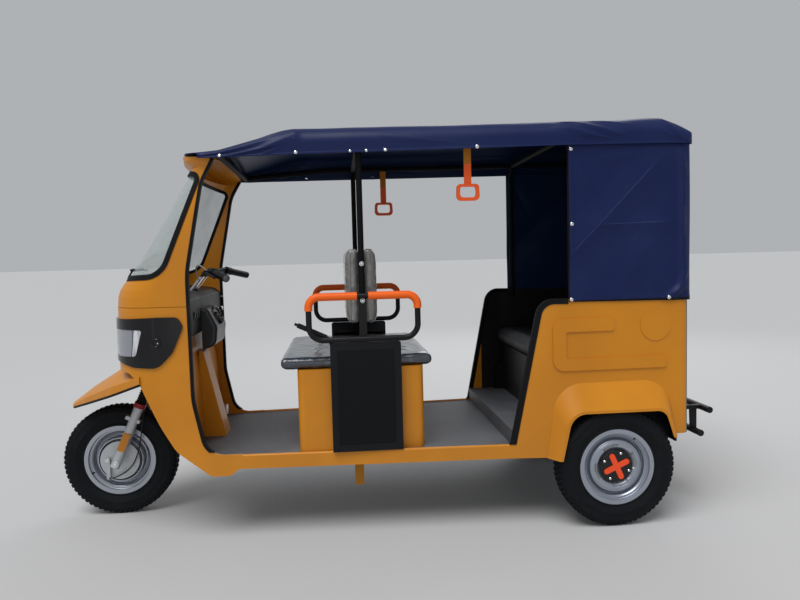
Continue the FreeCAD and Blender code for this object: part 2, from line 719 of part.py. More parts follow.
def make_parking_brake():
    """Handbrake lever: a pin on the seat box, a flat arm and a round grip."""
    y = -BRAKE_SIDE
    x = BRAKE_PIVOT_STATION
    z = BRAKE_PIVOT_HEIGHT
    grip_back = vec(x - 94, y, z + 171)
    grip_front = grip_back + vec(-121, 0, 57)
    arm = side_prism([(x - 16, z - 16, 12), (x + 18, z - 12, 14), (x + 8, z + 40, 30), (x - 66, z + 164, 20),
                      (x - 104, z + 184, 6), (x - 110, z + 170, 6), (x - 84, z + 146, 20),
                      (x - 22, z + 40, 40)],
                     y - 4, y + 4)
    pin = rod(vec(x, -SEAT_BOX_HALF, z), vec(x, y - 8, z), 20)
    button = rod(grip_front, grip_front + (grip_front - grip_back).normalize() * 14, 12)
    return joined([arm, pin, rod(grip_back, grip_front, BRAKE_GRIP_DIAMETER), button])


def roof_loft(inset, fall):
    """Solid between roof sections, moved in by an inset, its lower edge lowered by a fall."""
    last = len(ROOF) - 1
    wires = []
    for i, (station, crown, skirt, half, shoulder, bow) in enumerate(ROOF):
        x = station + (inset if i == 0 else -inset if i == last else 0)
        wires.append(hood_wire(in_depth(x), crown - inset, skirt - fall, half - inset, shoulder - inset,
                               bow - inset))
    return sound(Part.makeLoft(wires, True, True))


@lru_cache(maxsize=None)
def make_roof():
    front = hood_wire(in_plan(1500), CANOPY_FRONT - 6, CANOPY_REAR + 50, 480, 190, 1150, 0.06)
    trim = Part.Face(front).extrude(vec(0, 0, 500))
    canvas = roof_loft(0, 0).cut(roof_loft(CANVAS, 40)).common(trim)
    under_brow = box(CANOPY_FRONT - 50, CANOPY_FRONT + 50, -WIDE, WIDE, 1500, 1645)
    return canvas.cut(under_brow).cut(upper_cab(0, -SEAT_CLEARANCE))


def make_canopy_side():
    top = 1672
    rows = [(CANOPY_SIDE_FRONT, 991, 0), (CANOPY_REAR - 30, 984, 0), (CANOPY_REAR - 30, top, 0),
            (CANOPY_SIDE_FRONT, top, 0)]
    return side_prism(rows, -REAR_HALF - SEAT_CLEARANCE - CANVAS,
                      -REAR_HALF - SEAT_CLEARANCE).cut(make_roof())


def make_canopy_rear():
    return box(CANOPY_REAR - CANVAS, CANOPY_REAR, -REAR_HALF + 10, REAR_HALF - 10, 984, 1690).cut(make_roof())


@lru_cache(maxsize=None)
def make_canopy_frame():
    pieces = [one_post(), mirrored(one_post())]
    y = POST_HALF
    front = vec(588, -428, 1652)
    rail = bent_tube([front, vec(POST_STATION - 150, -y, 1692), vec(2560, -y, 1712)], FRAME_TUBE, 200)
    pieces += [rail, mirrored(rail), rod(front, vec(front.x, -front.y, front.z), FRAME_TUBE)]
    for station, z in ((POST_STATION, 1694), (2085, 1706), (2560, 1712)):
        pieces.append(rod(vec(station, -y, z), vec(station, y, z), FRAME_TUBE))
    corner = REAR_HALF - QUARTER_WALL - FRAME_TUBE / 2
    for station in (2085, 2560):
        pieces.append(bent_tube([vec(station, -corner, 960), vec(station, -corner, 1650),
                                 vec(station, -y, 1706)], FRAME_TUBE, 30))
        pieces.append(mirrored(pieces[-1]))
    return joined(pieces).cut(make_surround())


def quarter_wall(inset):
    """Plan outline of one rear quarter, filled back to the centre plane."""
    h = REAR_HALF - inset
    front = side_half(QUARTER_FRONT) - inset
    rows = [(QUARTER_FRONT - 5, -front, 0), (2010, -h, 300),
            (REAR_FACE - inset, -h, REAR_CORNER - inset * 0.9), (REAR_FACE - inset, -REAR_HALF + 60, 0),
            (QUARTER_FRONT - 5, -REAR_HALF + 60, 0)]
    return plan_prism(rows, 200, 1100)


@lru_cache(maxsize=None)
def make_quarter():
    wall = quarter_wall(0).cut(quarter_wall(QUARTER_WALL))
    wall = wall.common(side_prism(QUARTER, -WIDE, 0))
    foot = side_prism(FLARE_FOOT, -WIDE, 0, -QUARTER_WALL / 2)
    wall = wall.cut(foot)
    outer = Part.makeLoft([rounded(FLARE_FOOT, in_side(-REAR_HALF)),
                           rounded(FLARE_RIM, in_side(-FLARE_HALF))],
                          True, True)
    inner = Part.makeLoft([
        Part.Face(rounded(FLARE_FOOT, in_side(-REAR_HALF + 1))).makeOffset2D(-QUARTER_WALL).OuterWire,
        Part.Face(rounded(FLARE_RIM, in_side(-FLARE_HALF - 1))).makeOffset2D(-FLARE_LIP).OuterWire], True,
        True)
    flare = outer.cut(inner)
    ring = side_prism(FLARE_FOOT, -REAR_HALF, -REAR_HALF + QUARTER_WALL).cut(
        side_prism(FLARE_FOOT, -REAR_HALF - 1, -REAR_HALF + QUARTER_WALL + 1, -QUARTER_WALL))
    flare = flare.fuse(ring).common(side_prism(QUARTER, -WIDE, 0))
    rib = side_prism(C_RIB, -REAR_HALF - EMBOSS, -REAR_HALF + 2)
    x, z, r = ROUND_RIB
    disc = Part.makeCylinder(r, EMBOSS / 2 + 2, vec(x, -REAR_HALF + 2, z), vec(0, -1, 0))
    return joined([wall, flare, rib, disc])


def make_trims():
    """Rubber edgings of the two rear door edges and of the cab's door edges."""
    ring = side_prism(QUARTER, -WIDE, 0, 4).cut(side_prism(QUARTER, -WIDE, 0, -TRIM_WIDTH))
    wall = quarter_wall(-TRIM_THICKNESS).cut(quarter_wall(QUARTER_WALL + TRIM_THICKNESS))
    rear = wall.common(ring).common(box(QUARTER_FRONT, CANOPY_SIDE_FRONT - 2, -WIDE, 0, SILL_TOP, 1200))
    rear = rear.cut(make_quarter())
    band = side_prism(DOORWAY, -WIDE, 0, 9).cut(side_prism(DOORWAY, -WIDE, 0, -4))
    pieces = [rear]
    dash = make_dashboard()
    for rows, piece, z0, z1 in ((LOWER_CAB, make_nose(), 385, CAB_SEAM - SEAM_GAP),
                                (UPPER_CAB, make_surround(), CAB_SEAM, 1640)):
        skin = cab_skin(rows, -TRIM_THICKNESS, WALL + TRIM_THICKNESS)
        pieces.append(skin.common(band).common(box(300, 700, -WIDE, 0, z0, z1)).cut(piece).cut(dash))
    return both_sides(Part.makeCompound(pieces))


def make_rear_panel():
    panel = box(REAR_FACE - QUARTER_WALL, REAR_FACE, -REAR_HALF + 60, REAR_HALF - 60, 388, QUARTER_TOP_REAR)
    for y in (-PLATE_SPACING / 2, PLATE_SPACING / 2):
        hole = rod(vec(REAR_FACE - 50, y, PLATE_HEIGHT), vec(REAR_FACE + 50, y, PLATE_HEIGHT), PLATE_HOLE)
        panel = panel.cut(hole)
    return panel


def make_tail_lamps():
    lamp = side_prism([(REAR_FACE, 560, 0), (REAR_FACE + 22, 575, 12), (REAR_FACE + 22, 705, 12),
                       (REAR_FACE, 720, 0)], -430, -340)
    return both_sides(lamp)


def make_tubs():
    y0 = -REAR_HALF + QUARTER_WALL
    y1 = -BENCH_HALF
    outer = side_prism([(1965, 350, 0), (1965, 585, 60), (2561, 585, 60), (2561, 400, 0), (2561, 350, 0)], y0,
                       y1)
    inner = side_prism([(1973, 340, 0), (1973, 577, 54), (2553, 577, 54), (2553, 340, 0)], y0 - 1, y1 - 8)
    return both_sides(outer.cut(inner).cut(make_quarter()))


def make_bench_box():
    outer = box(BENCH_FRONT, BENCH_REAR, -BENCH_HALF, BENCH_HALF, REAR_DECK_TOP, BENCH_TOP)
    inner = box(BENCH_FRONT + 10, BENCH_REAR - 10, -BENCH_HALF + 10, BENCH_HALF - 10, REAR_DECK_TOP - 1,
                BENCH_TOP - 10)
    top = box(BENCH_FRONT, BENCH_REAR, -REAR_HALF + 14, REAR_HALF - 14, BENCH_TOP - 10, BENCH_TOP)
    return joined([outer.cut(inner), top])


def make_bench_backrest():
    return cushion(2480, BENCH_REAR, 470, BENCH_TOP + SEAT_CLEARANCE, 1260, 25)


@lru_cache(maxsize=None)
def make_rear_axle():
    y = HALF_TRACK - TYRE_HALF_WIDTH - 12
    tube = rod(vec(WHEELBASE, -y, AXLE_HEIGHT), vec(WHEELBASE, y, AXLE_HEIGHT), AXLE_TUBE)
    end = HALF_TRACK + 4
    spindle = rod(vec(WHEELBASE, -end, AXLE_HEIGHT), vec(WHEELBASE, end, AXLE_HEIGHT), SPINDLE_DIAMETER)
    case = Part.makeSphere(95, vec(WHEELBASE, 0, AXLE_HEIGHT))
    return joined([tube, spindle, case])


def make_motor():
    body = rod(vec(WHEELBASE - 90, 150, AXLE_HEIGHT), vec(WHEELBASE - 290, 150, AXLE_HEIGHT), 150)
    link = box(WHEELBASE - 130, WHEELBASE - 60, 60, 160, AXLE_HEIGHT - 40, AXLE_HEIGHT + 40)
    return joined([body, link]).cut(make_rear_axle())


def make_springs():
    seat = AXLE_HEIGHT + AXLE_TUBE / 2
    leaf = []
    for i in range(SPRING_LEAVES):
        reach = 300 - 80 * i
        low = seat + SPRING_LEAF * (SPRING_LEAVES - 1 - i)
        leaf.append(box(WHEELBASE - reach, WHEELBASE + reach, -CHASSIS_RAIL_OUTER, -CHASSIS_RAIL_INNER,
                        low, low + SPRING_LEAF))
    return both_sides(joined(leaf))


def make_bumper():
    y = BUMPER_HALF
    upper = rod(vec(BUMPER_STATION, -y, BUMPER_HEIGHT), vec(BUMPER_STATION, y, BUMPER_HEIGHT), BUMPER_TUBE)
    lower = rod(vec(BUMPER_STATION - 43, -y, BUMPER_HEIGHT - 107),
                vec(BUMPER_STATION - 43, y, BUMPER_HEIGHT - 107), BUMPER_TUBE)
    pieces = [upper, lower]
    for side in (-1, 1):
        y0 = side * BUMPER_BRACKET
        gusset = [(BUMPER_STATION - 62, BUMPER_HEIGHT + 14, 0), (BUMPER_STATION - 28, BUMPER_HEIGHT + 8, 0),
                  (BUMPER_STATION - 28, BUMPER_HEIGHT - 107, 0),
                  (BUMPER_STATION - 58, BUMPER_HEIGHT - 107, 0)]
        pieces.append(side_prism(gusset, y0 - 5, y0 + 5))
        pieces.append(box(REAR_FACE, BUMPER_STATION, y0 - 12, y0 + 12, BUMPER_HEIGHT - 6, BUMPER_HEIGHT + 12))
    return joined(pieces)


def make_straps():
    pieces = []
    for side, station in ((-1, 1646), (1, 1342)):
        y = side * 440
        band = box(station - 16, station + 16, y - 2, y + 2, 1508, 1690)
        ring = side_prism([(station - 48, 1512, 16), (station + 48, 1512, 16), (station + 52, 1440, 22),
                           (station - 52, 1440, 22)], y - 8, y + 8)
        hole = side_prism([(station - 34, 1500, 10), (station + 34, 1500, 10), (station + 36, 1454, 16),
                           (station - 36, 1454, 16)], y - 9, y + 9)
        pieces.append(joined([band, ring.cut(hole)]))
    return Part.makeCompound(pieces).cut(make_canopy_frame())


@lru_cache(maxsize=None)
def make_fork():
    pieces = []
    slider_top = UP_STEER * SLIDER_LENGTH
    crown = UP_STEER * ((CROWN_HEIGHT - AXLE_HEIGHT) / math.cos(rake))
    for side in (-1, 1):
        foot = AXLE_POINT + vec(0, side * FORK_HALF_SPACING, 0)
        pieces.append(rod(foot - UP_STEER * 18, foot + slider_top, SLIDER_DIAMETER))
        pieces.append(rod(foot + slider_top, foot + crown, STANCHION_DIAMETER))
    middle = AXLE_POINT + crown
    reach = vec(0, FORK_HALF_SPACING, 0)
    pieces.append(rod(middle - reach, middle + reach, CROWN_TUBE))
    pieces.append(rod(AXLE_POINT + crown, steer_point(STEERER_TOP), STEERER_DIAMETER))
    pieces.append(rod(vec(0, -125, AXLE_HEIGHT), vec(0, 125, AXLE_HEIGHT), FRONT_AXLE_DIAMETER))
    plate = vec(0, -DRUM_PLATE_FACE, 0)
    pieces.append(rod(AXLE_POINT + plate + vec(0, 8, 0), AXLE_POINT + plate, 2 * DRUM_PLATE_RADIUS))
    for side in (-1, 1):
        lug = box(-38, 30, -13, 13, -8, 8)
        lug.rotate(vec(0, 0, 0), vec(0, 1, 0), RAKE)
        lug.translate(AXLE_POINT + UP_STEER * LUG_DISTANCE + vec(0, side * FORK_HALF_SPACING, 0))
        pieces.append(lug)
    cam = vec(CAM_STATION, 0, AXLE_HEIGHT + 6)
    low = cam.z - CAM_LEVER_LENGTH
    lever = side_prism([(cam.x - 11, cam.z + 10, 8), (cam.x + 11, cam.z + 10, 8), (cam.x + 9, low - 8, 6),
                        (cam.x - 7, low - 8, 6)], -CABLE_SIDE + 2, -CABLE_SIDE + 7)
    pieces += [rod(cam - vec(0, DRUM_PLATE_FACE - 1, 0), cam - vec(0, CABLE_SIDE, 0), 18), lever,
               rod(vec(cam.x + 1, 5 - CABLE_SIDE, low), vec(cam.x + 1, -CABLE_SIDE - 5, low), 9)]
    return joined(pieces)


def make_boots():
    """Ribbed rubber boots over the fork's upper tubes, each with a collar on its slider."""
    bore = STANCHION_DIAMETER / 2 + RUNNING_CLEARANCE
    low = SLIDER_LENGTH
    first = low + BOOT_COLLAR_HEIGHT
    high = (CROWN_HEIGHT - AXLE_HEIGHT) / math.cos(rake) - CROWN_TUBE / 2 - 5
    pitch = (high - first) / BOOT_RIBS
    rows = [(bore, low, 0), (BOOT_COLLAR_RADIUS, low, 0), (BOOT_COLLAR_RADIUS, first, 0)]
    for i in range(BOOT_RIBS):
        rows.append((BOOT_VALLEY_RADIUS, first + pitch * (i + 0.2), 0))
        rows.append((BOOT_RIB_RADIUS, first + pitch * (i + 0.7), 0))
    rows += [(BOOT_VALLEY_RADIUS, high, 0), (bore, high, 0)]
    boot = turned_up(rows, AXLE_POINT - vec(0, FORK_HALF_SPACING, 0))
    return both_sides(boot)


def make_cables():
    """Front brake cable from the crown to the cam lever, and the left lever's cable down to the stem."""
    y = -CABLE_SIDE
    crown = steer_point(CROWN_HEIGHT, y) - UP_STEER * (CROWN_TUBE / 2)
    low = AXLE_HEIGHT + 6 - CAM_LEVER_LENGTH
    end = vec(CAM_STATION + 1 + 4.5, y, low)
    brake = [crown, vec(143, y, 566), vec(130, y, 508), vec(120, y, 450), vec(112, y, 393), vec(103, y, 339),
             vec(89, y, 289), vec(67, y, 244), vec(38, y, 214), vec(6, y, 196), vec(-22, y, 185), end]
    block, along, ahead = left_block()
    stem_height = BAR_HEIGHT - 36
    start = block + ahead * (SWITCH_BLOCK_DIAMETER / 2) + vec(0, 0, 3)
    top = BAR_HEIGHT
    bar = [start, vec(472, -221, top + 26), vec(446, -190, top + 42), vec(423, -149, top + 37),
           vec(411, -104, top + 13), vec(405, -62, top - 15), vec(409, -14, stem_height)]
    routes = [bent_tube(route, CABLE_DIAMETER) for route in (brake, bar)]
    return Part.makeCompound(routes).cut(make_fork()).cut(make_handlebar())


def bar_end():
    return vec(BAR_STATION + BAR_SWEEP, -BAR_HALF_SPAN, BAR_HEIGHT - 20)


def bar_knee():
    return vec(BAR_STATION + 50, -BAR_KNEE_HALF, BAR_HEIGHT + 14)


def left_block():
    """Centre of the left switch block, the bar's direction inwards there and the one ahead of it."""
    along = (bar_knee() - bar_end()).normalize()
    ahead = vec(-along.y, along.x, 0).normalize()
    return bar_end() + along * (GRIP_LENGTH + SWITCH_BLOCK_LENGTH / 2), along, ahead


@lru_cache(maxsize=None)
def make_handlebar():
    top = vec(BAR_STATION, 0, BAR_HEIGHT)
    bend = vec(BAR_STATION, -50, BAR_HEIGHT)
    path = [bar_end(), bar_knee(), bend]
    path += [vec(p.x, -p.y, p.z) for p in reversed(path)]
    pieces = [rod(steer_point(STEERER_TOP), top, 30), bent_tube(path, BAR_DIAMETER, 40)]
    end = bar_end()
    block, along, ahead = left_block()
    half_block = along * (SWITCH_BLOCK_LENGTH / 2)
    fulcrum = block + ahead * LEVER_STAND
    lever = [fulcrum + along * 8, fulcrum - along * 22, end + ahead * (LEVER_STAND + 4) + along * 30]
    for piece in (rod(end, block, GRIP_DIAMETER),
                  rod(block - half_block, block + half_block, SWITCH_BLOCK_DIAMETER),
                  rod(block, fulcrum + ahead * 4, 20), bent_tube(lever, LEVER_DIAMETER, 60),
                  Part.makeSphere(LEVER_DIAMETER * 0.65, lever[-1])):
        pieces += [piece, mirrored(piece)]
    return joined(pieces).cut(make_fork())


def make_reflectors():
    pieces = []
    for side in (-1, 1):
        foot = AXLE_POINT + vec(0, side * (FORK_HALF_SPACING + SLIDER_DIAMETER / 2), 0)
        plate = Part.makeBox(34, 8, 90, vec(-17, -4, 0))
        plate.rotate(vec(0, 0, 0), vec(0, 1, 0), RAKE)
        plate.translate(foot + UP_STEER * 70)
        pieces.append(plate)
    return Part.makeCompound(pieces).cut(make_fork())


def tyre(centre, side):
    w = TYRE_HALF_WIDTH
    b = RIM_HALF_WIDTH - 0.5
    rows = [(BEAD_RADIUS, b, 0), (RIM_FLANGE_RADIUS + 3, b, 0), (210, w, 40), (TYRE_RADIUS - 7, w - 8, 14),
            (TYRE_RADIUS, 22, 60), (TYRE_RADIUS, -22, 60), (TYRE_RADIUS - 7, 8 - w, 14), (210, -w, 40),
            (RIM_FLANGE_RADIUS + 3, -b, 0),
            (BEAD_RADIUS, -b, 0), (BEAD_RADIUS, 12 - b, 0), (212, 12 - w, 0), (TYRE_RADIUS - 18, 16 - w, 0),
            (TYRE_RADIUS - 18, w - 16, 0), (212, w - 12, 0), (BEAD_RADIUS, b - 12, 0)]
    return turned(rows, centre, side)


def barrel(centre, side):
    f, h, t = RIM_FLANGE_RADIUS, RIM_HALF_WIDTH, RIM_WALL
    s = BEAD_RADIUS
    w = s - WELL_DEPTH
    rows = [(f, h + t, 0), (f, h, 0), (s, h, 0), (s, h - 14, 0), (w, h - 21, 0), (w, 21 - h, 0),
            (s, 14 - h, 0), (s, -h, 0), (f, -h, 0), (f, -h - t, 0), (s - t, -h - t, 0), (s - t, 10 - h, 0),
            (w - t, 17 - h, 0), (w - t, h - 17, 0), (s - t, h - 10, 0), (s - t, h + t, 0)]
    return turned(rows, centre, side)


def make_front_rim():
    centre = AXLE_POINT
    w = BEAD_RADIUS - WELL_DEPTH
    bore = FRONT_AXLE_DIAMETER / 2 + RUNNING_CLEARANCE
    disc = turned([(w - 2, -8, 0), (108, -8, 6), (100, -22, 6), (30, -22, 0), (30, -28, 0), (106, -28, 0),
                   (114, -14, 0), (w - 2, -14, 0)], centre, -1)
    drum = turned([(DRUM_RADIUS, -20, 0), (DRUM_RADIUS, 30, 0), (DRUM_RADIUS - 6, 30, 0),
                   (DRUM_RADIUS - 6, -20, 0)],
                  centre, -1)
    hub = turned([(32, -40, 0), (32, 24, 0), (bore, 24, 0), (bore, -40, 0)], centre, -1)
    return joined([barrel(centre, -1), disc, drum, hub])


def rear_centre(side):
    return vec(WHEELBASE, side * HALF_TRACK, AXLE_HEIGHT)


def make_rear_rim(side):
    centre = rear_centre(side)
    w = BEAD_RADIUS - WELL_DEPTH
    disc = turned([(w - 2, 6, 0), (127, 6, 0), (121, 16, 4), (112, 26, 8), (88, 29, 10), (70, 14, 8),
                   (40, 14, 0), (40, 9, 0), (72, 9, 0), (90, 23, 0), (109, 20, 0), (117, 11, 0), (123, 1, 0),
                   (w - 2, 1, 0)],
                  centre, side)
    for i in range(HUB_ARMS):
        disc = disc.cut(disc_recess(centre, side, HUB_ARM_ANGLE + 45 + 90 * i))
    return joined([barrel(centre, side), disc])


def disc_recess(centre, side, middle):
    """Cutter of one curved recess in the wheel disc, its middle at an angle from straight back."""
    low = RECESS_RADIUS - RECESS_WIDTH / 2
    high = RECESS_RADIUS + RECESS_WIDTH / 2
    face = Part.Face(rounded([(low, 25.5, 0), (high, 25.5, 0), (high, 40, 0), (low, 40, 0)],
                             about_axle(centre, side)))
    arc = sound(face.revolve(centre, vec(0, 1, 0), RECESS_SPAN))
    start = rod(centre + vec(RECESS_RADIUS, side * 25.5, 0), centre + vec(RECESS_RADIUS, side * 40, 0),
                RECESS_WIDTH)
    whole = joined([arc, start, spun(start, centre, -RECESS_SPAN)])
    return spun(whole, centre, middle + RECESS_SPAN / 2)


def make_rear_hub(side):
    centre = rear_centre(side)
    bore = SPINDLE_DIAMETER / 2 + RUNNING_CLEARANCE
    edge = HUB_PLATE_RADIUS
    face = 30
    body = turned([(bore, -50, 0), (bore, 6, 0), (1, 6, 0), (1, face, 0), (edge - 5, face, 0),
                   (edge, face - 3, 0), (edge, face - 8, 0), (edge - 7, face - 10, 0), (edge - 7, 14, 0),
                   (40, 14, 0), (40, -50, 0)],
                  centre, side)
    out = vec(0, side, 0)
    pieces = [body, rod(centre + out * 6, centre + out * (face + HUB_ARM_HEIGHT), 4),
              rod(centre + out * (face - 1), centre + out * (face + HUB_ARM_HEIGHT), 36)]
    half = HUB_ARM_WIDTH / 2
    y0, y1 = sorted((side * (face - 1), side * (face + HUB_ARM_HEIGHT)))
    for i in range(HUB_ARMS):
        arm = box(centre.x, centre.x + HUB_ARM_REACH - half, centre.y + y0, centre.y + y1,
                  centre.z - half, centre.z + half)
        tip = centre + vec(HUB_ARM_REACH - half, 0, 0)
        pieces.append(spun(joined([arm, rod(tip + out * (face - 1), tip + out * (face + HUB_ARM_HEIGHT),
                                            2 * half)]),
                           centre, HUB_ARM_ANGLE + 90 * i))
    return joined(pieces)


def save(name, shape):
    shape = shape.copy()
    shape.translate(vec(-MID_STATION, 0, 0))
    solids = shape.Solids
    if not solids:
        raise RuntimeError("no solid in " + name)
    whole = solids[0] if len(solids) == 1 else Part.makeCompound(solids)
    whole.exportStep("parts/" + name + ".step")
    corner = whole.BoundBox
    print("%-20s %d solids, %7.1f..%7.1f %7.1f..%7.1f %7.1f..%7.1f valid %s volume %.0f cm3" % (
        name, len(solids), corner.XMin, corner.XMax, corner.YMin, corner.YMax, corner.ZMin, corner.ZMax,
        whole.isValid(), whole.Volume / 1000))


def main():
    os.makedirs("parts", exist_ok=True)
    quarter = make_quarter()
    rail = make_rail()
    save("chassis_frame", make_chassis())
    save("floor_pan", make_floor())
    save("nose_lower", make_nose())
    save("windscreen_surround", make_surround())
    save("windscreen_glass", make_screen_glass())
    save("windscreen_seal", make_screen_seal())
    save("headlamp_panels", make_lamp_panels())
    save("headlamp_lenses", make_lamp_lenses())
    save("front_mudguard", make_mudguard())
    save("front_bulkhead", make_bulkhead())
    save("dashboard", make_dashboard())
    save("instrument_pod", make_pod())
    save("brake_pedal", make_pedal())
    save("side_sills", make_sills())
    save("seat_box", make_seat_box())
    save("battery_pack", make_battery())
    save("driver_cushion", cushion(CUSHION_FRONT, CUSHION_REAR, CUSHION_HALF, SEAT_BOX_TOP + SEAT_CLEARANCE,
                                   SEAT_BOX_TOP + CUSHION_THICKNESS, 20))
    save("backrest_pads", make_backrest_pads())
    save("backrest_frame", make_backrest_frame())
    save("side_panels", make_side_panels())
    save("parking_brake", make_parking_brake())
    save("grab_rail_left", rail)
    save("grab_rail_right", mirrored(rail))
    save("rail_grips", make_grips())
    save("canopy_frame", make_canopy_frame())
    save("canopy_roof", make_roof())
    save("canopy_sides", both_sides(make_canopy_side()))
    save("canopy_rear", make_canopy_rear())
    save("rear_quarter_left", quarter)
    save("rear_quarter_right", mirrored(quarter))
    save("door_trims", make_trims())
    save("rear_panel", make_rear_panel())
    save("tail_lamps", make_tail_lamps())
    save("wheel_tubs", make_tubs())
    save("bench_box", make_bench_box())
    save("bench_cushion", cushion(BENCH_FRONT - 30, 2478, 490, BENCH_TOP + SEAT_CLEARANCE,
                                  BENCH_TOP + BENCH_CUSHION, 25))
    save("bench_backrest", make_bench_backrest())
    save("rear_axle", make_rear_axle())
    save("drive_motor", make_motor())
    save("leaf_springs", make_springs())
    save("rear_bumper", make_bumper())
    save("hand_straps", make_straps())
    save("front_fork", make_fork())
    save("fork_boots", make_boots())
    save("handlebar", make_handlebar())
    save("control_cables", make_cables())
    save("fork_reflectors", make_reflectors())
    save("front_tyre", tyre(AXLE_POINT, -1))
    save("front_rim", make_front_rim())
    for name, side in (("left", -1), ("right", 1)):
        save("rear_tyre_" + name, tyre(rear_centre(side), side))
        save("rear_rim_" + name, make_rear_rim(side))
        save("rear_hub_" + name, make_rear_hub(side))


main()
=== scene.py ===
"""Looks of a three-wheeled passenger rickshaw, modelled around its packed construction.

Frame: metres, +X to the rear, +Y to the vehicle's right, +Z up, origin on the ground at mid-length.
"""

import json
import logging
import math
from dataclasses import astuple, dataclass, replace
from enum import Enum
from typing import Callable, ClassVar, Iterable, Sequence

import bpy
import numpy as np
from mathutils import Matrix, Vector

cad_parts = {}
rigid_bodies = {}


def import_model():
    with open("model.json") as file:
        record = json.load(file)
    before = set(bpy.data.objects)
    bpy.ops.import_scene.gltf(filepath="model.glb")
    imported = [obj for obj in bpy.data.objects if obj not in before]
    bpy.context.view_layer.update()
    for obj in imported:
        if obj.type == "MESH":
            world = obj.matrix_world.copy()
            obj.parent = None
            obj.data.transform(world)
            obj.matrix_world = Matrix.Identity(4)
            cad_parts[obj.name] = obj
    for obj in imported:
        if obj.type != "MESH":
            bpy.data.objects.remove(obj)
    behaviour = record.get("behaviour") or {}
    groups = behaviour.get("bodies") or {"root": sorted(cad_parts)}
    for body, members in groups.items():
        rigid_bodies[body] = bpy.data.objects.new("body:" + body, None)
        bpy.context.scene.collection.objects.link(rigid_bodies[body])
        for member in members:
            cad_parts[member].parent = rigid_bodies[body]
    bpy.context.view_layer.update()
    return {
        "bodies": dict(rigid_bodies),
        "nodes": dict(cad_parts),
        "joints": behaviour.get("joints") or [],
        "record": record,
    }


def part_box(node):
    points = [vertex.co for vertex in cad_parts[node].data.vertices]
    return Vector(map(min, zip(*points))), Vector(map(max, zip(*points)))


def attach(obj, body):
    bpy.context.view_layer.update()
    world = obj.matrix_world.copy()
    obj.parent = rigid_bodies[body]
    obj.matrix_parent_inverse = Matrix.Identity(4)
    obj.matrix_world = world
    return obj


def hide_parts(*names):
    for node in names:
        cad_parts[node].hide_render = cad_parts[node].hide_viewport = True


LOG = logging.getLogger("rickshaw")
Piece = bpy.types.Object
Point = Sequence[float]
Pair = tuple[float, float]
Triple = tuple[float, float, float]
Colour = Triple
Limits = tuple[float | None, float | None, float | None]
Rows = Sequence[Pair]
Landing = tuple[Vector, Vector]
ORIGIN = Vector((0.0, 0.0, 0.0))
REARWARDS = Vector((1.0, 0.0, 0.0))
ALONG_Y = Vector((0.0, 1.0, 0.0))
UPWARDS = Vector((0.0, 0.0, 1.0))
FRONT_AXLE = Vector((-1.2645, 0.0, 0.263))
REAR_AXLE = (0.9985, 0.263)
STEER_WAY = Vector((0.406737, 0.0, 0.913545))
FAR_OUT = 2.5


class Side(Enum):
    """The two sides of the vehicle, valued by the sign of Y."""

    LEFT = -1
    RIGHT = 1


def operator(operation: str, reflected: bool = False) -> Callable[["Signal", object], "Signal"]:
    """Makes a method that adds one Math node on a signal and another value.

    Args:
        operation: The Math node's operation.
        reflected: Whether the other value comes first.

    Returns:
        The method.
    """
    def method(self: "Signal", other: object = 0.0) -> "Signal":
        """Adds the Math node."""
        first, second = (other, self) if reflected else (self, other)
        return self.board.node("ShaderNodeMath", {"operation": operation}, {0: first, 1: second})
    return method


class Signal:
    """A shader socket that takes part in arithmetic."""

    __add__ = operator("ADD")
    __radd__ = operator("ADD", reflected=True)
    __sub__ = operator("SUBTRACT")
    __rsub__ = operator("SUBTRACT", reflected=True)
    __mul__ = operator("MULTIPLY")
    __rmul__ = operator("MULTIPLY", reflected=True)
    __gt__ = operator("GREATER_THAN")
    __lt__ = operator("LESS_THAN")
    sine = operator("SINE")
    size = operator("ABSOLUTE")
    root = operator("SQRT")
    angle = operator("ARCTAN2")

    def __init__(self, board: "Board", socket: bpy.types.NodeSocket) -> None:
        """Wraps a socket.

        Args:
            board: The material's board, which makes further nodes.
            socket: The output socket to read.
        """
        self.board = board
        self.socket = socket

    def ramp(self, low: float, high: float, start: float = 0.0, end: float = 1.0) -> "Signal":
        """Maps low..high smoothly to start..end, clamped at both ends.

        Args:
            low: Input at which the result is start.
            high: Input at which the result is end.
            start: Result at low.
            end: Result at high.

        Returns:
            The mapped signal.
        """
        return self.board.node("ShaderNodeMapRange", {"interpolation_type": "SMOOTHSTEP"},
                               {0: self, 1: low, 2: high, 3: start, 4: end})


@dataclass(frozen=True)
class Region:
    """A part of a piece with a finish of its own, told by its place in the frame.

    Its corners are along X, off the centre plane and up. Raked ones are behind the steering axis, off the
    centre plane and along the axis from the front axle.
    """

    colour: Colour
    low: Limits = (None, None, None)
    high: Limits = (None, None, None)
    roughness: float = 0.4
    metallic: float = 0.0
    raked: bool = False

    def mask(self, board: "Board") -> Signal:
        """Tells the region's inside from the rest.

        Args:
            board: The material's board.

        Returns:
            1 inside the region, else 0.
        """
        ways = board.raked() if self.raked else (board.x, board.y.size(), board.z)
        tests = [way > limit for way, limit in zip(ways, self.low) if limit is not None]
        tests += [way < limit for way, limit in zip(ways, self.high) if limit is not None]
        inside = tests[0]
        for test in tests[1:]:
            inside = inside * test
        return inside


